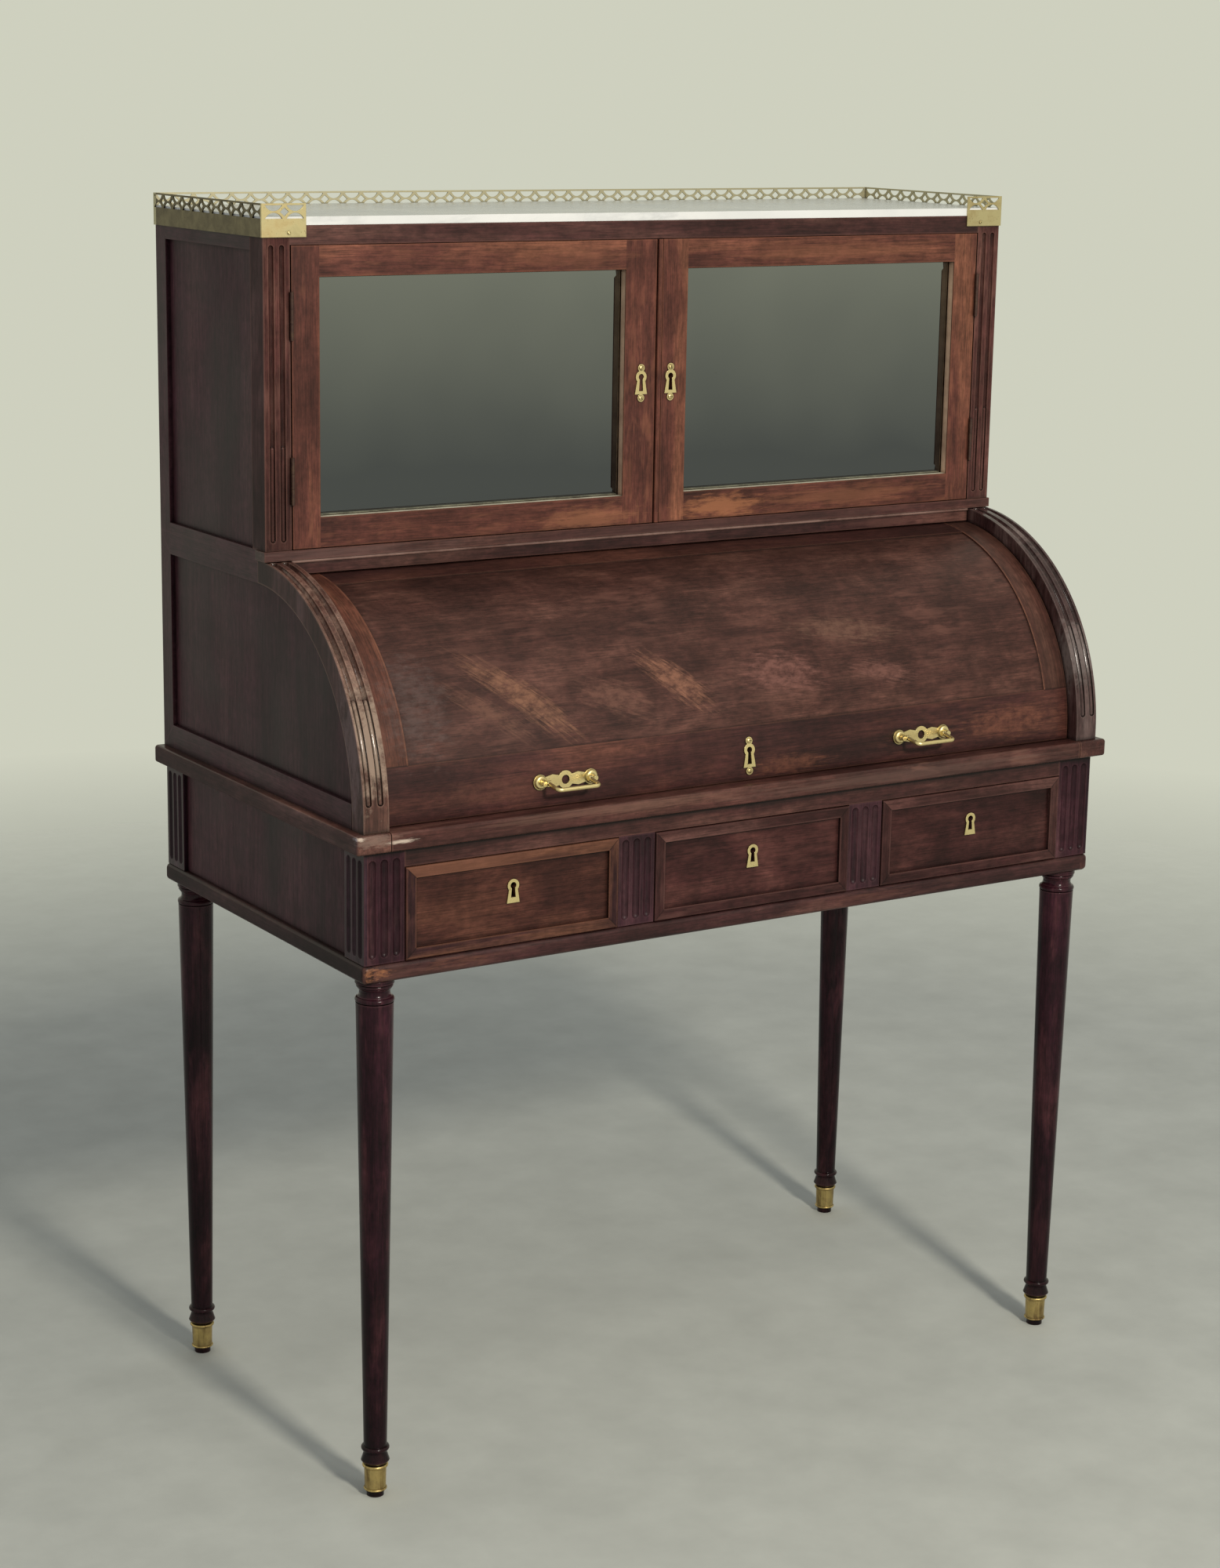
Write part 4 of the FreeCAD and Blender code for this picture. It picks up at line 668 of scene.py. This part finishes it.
def brass(name, worn, tarnish_and_shade=(), pale=PALE_BRASS):
    """Worn brass, pale where it is rubbed, dull or tarnished where it is not, and darker still under masks of
    tarnished patches and painted shade.
    """
    material, tree, surface = new_finish(name)
    place = own_place(tree)
    patches = noise(tree, place, 60.0, 4.0, 0.6, 0.4)
    specks = noise(tree, place, 420.0, 3.0, 0.6)
    scratches = noise(tree, stretched(tree, place, (90.0, 90.0, 700.0)), 1.0, 3.0, 0.6)
    dull = spread_range(tree, patches, 0.42, 0.70, 0.0, worn)
    colour = mix_colour(tree, dull, pale, DULL_BRASS)
    roughness = spread_range(tree, patches, 0.3, 0.7, 0.28, 0.46)
    for mask, strength, tint in tarnish_and_shade:
        share = sums(tree, "MULTIPLY", mask(tree, place), spread_range(tree, patches, 0.3, 0.7, strength, 1.0))
        colour = mix_colour(tree, share, colour, tint)
        roughness = mix_values(tree, share, roughness, TARNISH_ROUGHNESS)
    recess = corner_share(tree, BRASS_REACH, False)
    colour = shade(tree, colour, spread_range(tree, recess, 0.0, 1.0, 1.0, BRASS_DIRT))
    colour = shade(tree, colour, spread_range(tree, specks, 0.62, 0.72, 1.0, 0.62))
    feed(tree, surface, {"Base Color": colour, "Metallic": 1.0, "Roughness": roughness,
                         "Normal": bump(tree, scratches, 0.06, 0.0004, rounded_edges(tree, BRASS_EDGE_RADIUS))})
    return material


def browned_brass():
    """Brass of the hinges, polished over with the wood and gone brown."""
    material, tree, surface = new_finish("browned_brass")
    place = own_place(tree)
    patches = noise(tree, place, 120.0, 4.0, 0.6, 0.4)
    colour = mix_colour(tree, spread_range(tree, patches, 0.45, 0.75), *BROWNED_BRASS)
    feed(tree, surface, {"Base Color": colour, "Metallic": 0.4,
                         "Roughness": spread_range(tree, patches, 0.3, 0.7, 0.45, 0.6)})
    return material


def old_mirror():
    """Silvered glass, darkened as a painted reflection of dark surroundings and darker towards the bottom, with a
    few small specks and a painted highlight along its ground edge.
    """
    material, tree, surface = new_finish("old_mirror")
    place = own_place(tree)
    parts = parts_of(tree, place)
    wide = sums(tree, "ABSOLUTE", parts[0])
    inner, outer, low, high = DOOR_SIGHT
    across = sums(tree, "MINIMUM", sums(tree, "SUBTRACT", wide, inner), sums(tree, "SUBTRACT", outer, wide))
    from_edge = sums(tree, "MINIMUM", across, sums(tree, "SUBTRACT", parts[2], low))
    specks = noise(tree, place, 70.0, 6.0, 0.72, 0.2)
    haze = noise(tree, place, 5.0, 2.0, 0.5)
    # Painted reflection: dark low on the glass, paler towards the top
    clear = sums(tree, "ADD", spread_range(tree, parts[2], low, high, -0.15, 0.85),
                 spread_range(tree, haze, 0.3, 0.7, -0.10, 0.10))
    colour = mix_colour(tree, clear, MIRROR_DARK_REFLECTION, MIRROR_PALE_REFLECTION)
    colour = mix_colour(tree, spread_range(tree, specks, 0.70, 0.78), colour, MIRROR_SPECK)
    # A painted highlight along the ground edge of the glass
    ground = product(tree, spread_range(tree, from_edge, *GROUND_HIGHLIGHT_LINE),
                     spread_range(tree, specks, 0.4, 0.6, 0.8, 0.4))
    colour = mix_colour(tree, ground, colour, GROUND_EDGE_HIGHLIGHT)
    feed(tree, surface, {"Base Color": colour, "Metallic": 1.0,
                         "Roughness": spread_range(tree, haze, 0.35, 0.75, 0.015, 0.035)})
    return material


def white_marble():
    """Polished white marble with soft grey veins, its top greyed by dust and use and by a painted reflection of the
    pale surroundings.
    """
    material, tree, surface = new_finish("white_marble")
    place = own_place(tree)
    slanted = put(tree, "ShaderNodeMapping", {"Vector": place, "Rotation": (0.0, 0.0, VEIN_SLANT),
                                              "Scale": (1.6, 6.5, 6.5)}).outputs["Vector"]
    drift = noise(tree, slanted, 1.0, 8.0, 0.68, 0.9)
    clouds = noise(tree, place, 12.0, 4.0, 0.6)
    spread = spread_range(tree, noise(tree, place, 4.0, 2.0, 0.5), 0.35, 0.7, 0.012, 0.07)
    veins = sums(tree, "DIVIDE", sums(tree, "ABSOLUTE", sums(tree, "SUBTRACT", drift, 0.5)), spread)
    veins = product(tree, spread_range(tree, veins, 0.0, 1.0, 1.0, 0.0),
                    spread_range(tree, clouds, 0.4, 0.6, 0.2, 1.0))
    base = mix_colour(tree, spread_range(tree, clouds, 0.35, 0.7), *MARBLE)
    colour = mix_colour(tree, sums(tree, "MULTIPLY", veins, 0.30), base, MARBLE_VEIN)
    # The top face: greyed by dust, with painted reflection and shade
    top_face = sums(tree, "GREATER_THAN", parts_of(tree, place)[2], MARBLE_FACE)
    colour = mix_colour(tree, sums(tree, "MULTIPLY", top_face, 0.55), colour, MARBLE_TOP_DUST_AND_REFLECTION)
    feed(tree, surface, {"Base Color": colour, "Roughness": spread_range(tree, clouds, 0.3, 0.7, 0.20, 0.34),
                         "Normal": rounded_edges(tree, EDGE_RADIUS)})
    return material


def worn_leather():
    """The dark leather of the writing slide, with a tooled gilt line round it."""
    material, tree, surface = new_finish("worn_leather")
    place = own_place(tree)
    parts = parts_of(tree, place)
    low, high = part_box("slide_leather")
    centre = [(low[axis] + high[axis]) / 2 for axis in range(2)]
    half = [(high[axis] - low[axis]) / 2 for axis in range(2)]
    edges = [sums(tree, "SUBTRACT", half[axis],
                  sums(tree, "ABSOLUTE", sums(tree, "SUBTRACT", parts[axis], centre[axis]))) for axis in range(2)]
    from_edge = sums(tree, "MINIMUM", edges[0], edges[1])
    line = sums(tree, "ABSOLUTE", sums(tree, "SUBTRACT", from_edge, GILT_PLACE))
    pebbles = put(tree, "ShaderNodeTexVoronoi", {"Vector": place, "Scale": 650.0}).outputs["Distance"]
    rubbed = noise(tree, place, 6.0, 4.0, 0.6, 0.3)
    chipped = spread_range(tree, noise(tree, place, 90.0, 4.0, 0.65), 0.38, 0.55)
    colour = mix_colour(tree, spread_range(tree, rubbed, 0.4, 0.7), *LEATHER)
    gilt = product(tree, spread_range(tree, line, *GILT_LINE), chipped)
    colour = mix_colour(tree, gilt, colour, GILT)
    feed(tree, surface, {"Base Color": colour, "Metallic": sums(tree, "MULTIPLY", gilt, 0.8),
                         "Roughness": spread_range(tree, rubbed, 0.3, 0.7, 0.45, 0.6),
                         "Normal": bump(tree, pebbles, 0.2, 0.0005)})
    return material


def dull_steel():
    """Dull steel of the fall's arms."""
    material, tree, surface = new_finish("dull_steel")
    place = own_place(tree)
    marks = noise(tree, place, 45.0, 4.0, 0.6)
    colour = mix_colour(tree, spread_range(tree, marks, 0.35, 0.7), *STEEL)
    feed(tree, surface, {"Base Color": colour, "Metallic": 1.0,
                         "Roughness": spread_range(tree, marks, 0.3, 0.7, 0.42, 0.6)})
    return material


def dress(names, material):
    for name in names:
        slots = nodes[name].data.materials
        if slots:
            slots[0] = material
        else:
            slots.append(material)


def dress_woods():
    dress(["front_left_leg", "front_right_leg", "back_left_leg", "back_right_leg"], leg_mahogany())
    dress(["left_door_frame", "right_door_frame"],
          mahogany("door_mahogany", "x", DOOR, worn=0.6, seed=3.0, cross=(door_stile_mask, "z"), edge_wear=0.4,
                   patches=DOOR_PATCHES, marks=DOOR_PAINTED_LIGHT_MARKS))
    dress(["left_stile", "right_stile"],
          mahogany("stile_mahogany", "z", STILE, worn=0.4, seed=4.0, shine=LOW_SHINE, gloss=0.45,
                   outer=(CASE_SIDE, SIDE_GREY_AND_SHADE), wax_and_shade=FLUTE_WAX_AND_SHADE))
    dress(["cabinet_sill", "cabinet_top_rail"],
          mahogany("sill_mahogany", "x", RAIL, worn=0.45, seed=6.0, patches=SILL_PATCHES, marks=SILL_HIGHLIGHT_MARKS))
    for side, tones in (("left", LEFT_ARC), ("right", RIGHT_ARC)):
        dress([f"{side}_arc_rail"],
              mahogany(f"{side}_arc_mahogany", "z", tones, worn=0.6, seed=7.0, patches=ARC_WEAR_AND_GLINT_PATCHES[side],
                       shine=0.35, gloss=0.36, outer=(CASE_SIDE, ARC_GREY_AND_SHADE), wax_and_shade=FLUTE_WAX_AND_SHADE))
    dress(["table_edges", "writing_slide"],
          mahogany("edge_mahogany", "x", EDGE, worn=0.75, seed=8.0, cross=(beyond("x", BLOCK_INNER), "y"),
                   edge_wear=0.6, patches=EDGE_WEAR_AND_HIGHLIGHT_PATCHES, gloss=0.75, outer=(TABLE_SIDE, SIDE_GREY_AND_SHADE)))
    drawers = [("left", FADED_DRAWER, FADED_FRAME, 9.0, 0.45), ("middle", DRAWER, DRAWER_BAR, 9.7, 0.08),
               ("right", DRAWER, DRAWER_BAR, 8.2, 0.05)]
    for place, field_tones, frame_tones, seed, top_rub_and_light in drawers:
        front = f"{place}_drawer_front"
        dress([front],
              drawer_mahogany(f"{place}_drawer_mahogany", front, field_tones, frame_tones, seed, top_rub_and_light))
    dress(["drawer_rails"], mahogany("rail_mahogany", "x", RAIL, worn=0.45, seed=10.0, marks=TABLE_JOINT_DIRT_AND_SHADOW))
    dress(["base_moulding"],
          mahogany("moulding_mahogany", "x", MOULDING, worn=0.6, seed=11.0, cross=(beyond("x", MOULDING_END), "y"),
                   patches=MOULDING_PATCHES, outer=(CASE_SIDE, SIDE_GREY_AND_SHADE)))
    dress(["drawer_dividers"], mahogany("divider_mahogany", "z", POST, worn=0.35, seed=12.0, wax_and_shade=FLUTE_WAX_AND_SHADE))
    dress(["left_cylinder_panel", "right_cylinder_panel", "left_cabinet_panel", "right_cabinet_panel",
           "base_side_panels"],
          mahogany("side_mahogany", "z", SIDE, worn=0.4, seed=13.0, shine=0.12, marks=TABLE_JOINT_DIRT_AND_SHADOW))
    dress(["left_side_frame", "right_side_frame"],
          mahogany("side_frame_mahogany", "y", SIDE, worn=0.4, seed=14.0, cross=(between("y", *BACK_STILE), "z"),
                   shine=0.14))
    dress(["cabinet_floor", "cabinet_top_board", "cabinet_shelf", "pigeonholes",
           "left_small_drawer", "right_small_drawer"],
          mahogany("inner_mahogany", "x", WARM, worn=0.2, seed=15.0))
    dress(["fall_panel"], fall_veneer())
    dress(["back_panels", "runners", "left_door_backing", "right_door_backing", "left_drawer_box",
           "middle_drawer_box", "right_drawer_box"], planed_oak())


def dress_fittings():
    # The gallery's sides and back: tarnish, with painted shade and dark reflections
    gallery_tarnish_and_shade = [(gallery_side_shade_mask(-1.0), 0.85, TARNISHED_SHADED_BRASS),
                       (gallery_side_shade_mask(1.0), 0.85, KHAKI_TARNISH_AND_SHADE), (gallery_back_mask, 0.85, KHAKI_TARNISH_AND_SHADE)]
    shoe_dark_streaks = [(shoe_tarnish_and_reflection_streaks, 0.5, SHOE_TARNISH_AND_REFLECTION)]
    dress(["brass_gallery"], brass("gallery_brass", worn=0.6, tarnish_and_shade=gallery_tarnish_and_shade, pale=GALLERY_BRASS))
    dress(["leg_shoes"], brass("shoe_brass", worn=0.95, tarnish_and_shade=shoe_dark_streaks, pale=SHOE_BRASS_DARK_REFLECTED))
    dress(["left_door_plate", "right_door_lock", "fall_lock", "left_drawer_lock", "middle_drawer_lock",
           "right_drawer_lock", "handle_plates", "left_bail", "right_bail"], brass("handle_brass", worn=0.35))
    dress(["case_hinges", "left_door_hinges", "right_door_hinges"], browned_brass())
    dress(["left_door_mirror", "right_door_mirror"], old_mirror())
    dress(["marble_top"], white_marble())
    dress(["slide_leather"], worn_leather())
    dress(["fall_arms"], dull_steel())


# Screws of the brass plates and the gallery

SCREW_SIDES = 28
SCREW_RADIUS = 0.0026
GALLERY_SCREW_RADIUS = 0.0017
SCREW_HEIGHT = 0.0016
SCREW_CROWN = 0.0005
CROWN_INSET_SHARE = 0.4
SLOT_SHARE = 0.17
SLOT_DEPTH = 0.0007
SMOOTH_ANGLE = math.radians(35)
FALL_PLATE_HEIGHT = 0.7677
DOOR_PLATE_HEIGHT = 1.157
DOOR_PLATE_SIDE = 0.0197
PLATE_LOBE = 0.0167
PLATE_RADIUS = FALL_RADIUS + 0.0014
GALLERY_SCREW_SIDE = 0.456
GALLERY_SCREW_HEIGHT = 1.3285


def pick_faces(piece, wanted):
    """Select in edit mode the faces whose middle and direction suit."""
    bpy.ops.object.mode_set(mode="EDIT")
    bpy.ops.mesh.select_mode(type="FACE")
    bpy.ops.mesh.select_all(action="DESELECT")
    bpy.ops.object.mode_set(mode="OBJECT")
    for face in piece.data.polygons:
        face.select = wanted(face.center, face.normal)
    bpy.ops.object.mode_set(mode="EDIT")


def slotted_screw(name, place, tilt, radius, slant, body, finish):
    """A low round screw head with a slot, let into a plate and facing the front."""
    place = Vector(place)
    outward = Vector((0.0, -math.cos(tilt), math.sin(tilt)))
    upward = Vector((0.0, math.sin(tilt), math.cos(tilt)))
    across = Vector((math.cos(slant), 0.0, 0.0)) + upward * math.sin(slant)
    bpy.ops.object.select_all(action="DESELECT")
    bpy.ops.mesh.primitive_cylinder_add(vertices=SCREW_SIDES, radius=radius, depth=SCREW_HEIGHT, location=place,
                                        rotation=(math.pi / 2 - tilt, 0.0, 0.0))
    screw = bpy.context.object
    screw.name = name
    bpy.ops.object.transform_apply(location=True, rotation=True, scale=True)
    pick_faces(screw, lambda middle, normal: normal.dot(outward) > 0.99)
    bpy.ops.mesh.inset(thickness=radius * CROWN_INSET_SHARE)
    bpy.ops.transform.translate(value=outward * SCREW_CROWN)
    slot = radius * SLOT_SHARE
    for side in (-1, 1):
        bpy.ops.mesh.select_all(action="SELECT")
        bpy.ops.mesh.bisect(plane_co=place + across * (side * slot), plane_no=across)
    pick_faces(screw, lambda middle, normal: normal.dot(outward) > 0.3
               and abs((middle - place).dot(across)) < slot)
    bpy.ops.mesh.extrude_region_move(TRANSFORM_OT_translate={"value": outward * -SLOT_DEPTH})
    bpy.ops.object.mode_set(mode="OBJECT")
    bpy.ops.object.shade_smooth_by_angle(angle=SMOOTH_ANGLE)
    screw.data.materials.append(finish)
    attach(screw, body)


def drive_screws():
    """Two screws in each shaped plate, and one in each front return of the gallery."""
    finish = brass("screw_brass", worn=0.9)
    plates = [("fall", "fall_lock", FALL_PLATE_HEIGHT), ("left_door", "left_door_plate", DOOR_PLATE_HEIGHT),
              ("right_door", "right_door_lock", DOOR_PLATE_HEIGHT)]
    for count, (body, node, height) in enumerate(plates):
        low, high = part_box(node)
        centre = 0.0 if body == "fall" else math.copysign(DOOR_PLATE_SIDE, low[0] + high[0])
        for end, side in (("low", -1), ("high", 1)):
            rise = height + side * PLATE_LOBE
            tilt = 0.0
            front = low[1]
            if body == "fall":
                tilt = math.asin((rise - AXIS_Z) / PLATE_RADIUS)
                front = AXIS_Y - PLATE_RADIUS * math.cos(tilt)
            slant = 0.5 + count + side
            slotted_screw(f"{body}_{end}_screw", (centre, front, rise), tilt, SCREW_RADIUS, slant, body, finish)
    low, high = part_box("brass_gallery")
    for side, name in ((-1, "left"), (1, "right")):
        place = (side * GALLERY_SCREW_SIDE, low[1], GALLERY_SCREW_HEIGHT)
        slotted_screw(f"{name}_gallery_screw", place, 0.0, GALLERY_SCREW_RADIUS, 0.8 * side, "carcass", finish)


# Stage, light and camera


def floor_finish():
    """A plain pale floor that fades into the background away from the desk."""
    material = bpy.data.materials.new("pale_floor")
    material.use_nodes = True
    tree = material.node_tree
    tree.nodes.clear()
    place = own_place(tree)
    grit = noise(tree, place, 9.0, 5.0, 0.6)
    colour = mix_colour(tree, spread_range(tree, grit, 0.3, 0.7), FLOOR_COLOUR,
                        tuple(value * GRIT_SHADE for value in FLOOR_COLOUR))
    surface = put(tree, "ShaderNodeBsdfPrincipled", {"Base Color": colour, "Roughness": 0.75})
    clear = put(tree, "ShaderNodeBsdfTransparent")
    away = put(tree, "ShaderNodeVectorMath", {0: place}, operation="LENGTH").outputs["Value"]
    faded = spread_range(tree, away, *FLOOR_FADE)
    mixed = put(tree, "ShaderNodeMixShader", {0: faded, 1: surface.outputs["BSDF"], 2: clear.outputs["BSDF"]})
    put(tree, "ShaderNodeOutputMaterial", {"Surface": mixed.outputs["Shader"]})
    return material


def lay_floor():
    bpy.ops.mesh.primitive_plane_add(size=FLOOR_SIZE)
    floor = bpy.context.object
    floor.name = "floor"
    floor.data.materials.append(floor_finish())


def set_background():
    """A pale background that is seen and mirrored, and a dimmer light from all round."""
    world = bpy.data.worlds.new("studio")
    bpy.context.scene.world = world
    world.use_nodes = True
    tree = world.node_tree
    tree.nodes.clear()
    rays = put(tree, "ShaderNodeLightPath").outputs
    seen = sums(tree, "MAXIMUM", rays["Is Camera Ray"],
                sums(tree, "MAXIMUM", rays["Is Glossy Ray"], rays["Is Transmission Ray"]))
    light = put(tree, "ShaderNodeBackground", {"Color": opaque(SKY_COLOUR), "Strength": SKY_LIGHT})
    picture = put(tree, "ShaderNodeBackground", {"Color": opaque(BACKGROUND), "Strength": 1.0})
    mixed = put(tree, "ShaderNodeMixShader", {0: seen, 1: light.outputs[0], 2: picture.outputs[0]})
    put(tree, "ShaderNodeOutputWorld", {"Surface": mixed.outputs[0]})


def hang_lamp(name, place, aim, size, watts, colour):
    data = bpy.data.lights.new(name, "AREA")
    data.shape = "DISK"
    data.size = size
    data.energy = watts
    data.color = colour
    lamp = bpy.data.objects.new(name, data)
    bpy.context.collection.objects.link(lamp)
    lamp.location = place
    lamp.rotation_euler = (Vector(aim) - Vector(place)).to_track_quat("-Z", "Y").to_euler()


def light_desk():
    hang_lamp("front_lamp", place=(-0.3, -4.2, 2.75), aim=(0.0, 0.0, 0.85), size=0.55, watts=135.0,
              colour=(1.0, 0.95, 0.86))
    hang_lamp("top_lamp", place=(0.3, -2.2, 4.2), aim=(0.0, 0.0, 0.9), size=0.8, watts=15.0,
              colour=(1.0, 0.98, 0.94))


def aim_camera():
    """The photograph's view: place, heading, tilt and roll of the camera."""
    place = Vector(CAMERA_PLACE)
    heading, tilt, roll = (math.radians(angle) for angle in (CAMERA_HEADING, CAMERA_TILT, CAMERA_ROLL))
    ahead = Vector((math.sin(heading) * math.cos(tilt), math.cos(heading) * math.cos(tilt), math.sin(tilt)))
    right = Vector((math.cos(heading), -math.sin(heading), 0.0))
    above = right.cross(ahead)
    level = right * math.cos(roll) + above * math.sin(roll)
    upward = above * math.cos(roll) - right * math.sin(roll)
    data = bpy.data.cameras.new("camera")
    data.sensor_fit = "HORIZONTAL"
    data.sensor_width = SENSOR_WIDTH
    data.lens = LENS
    camera = bpy.data.objects.new("camera", data)
    bpy.context.collection.objects.link(camera)
    turn = Matrix((level, upward, -ahead)).transposed().to_4x4()
    camera.matrix_world = Matrix.Translation(place) @ turn
    bpy.context.scene.camera = camera


bpy.ops.object.select_all(action="DESELECT")
dress_woods()
dress_fittings()
drive_screws()
lay_floor()
set_background()
light_desk()
aim_camera()
bpy.context.scene.view_settings.view_transform = "Standard"
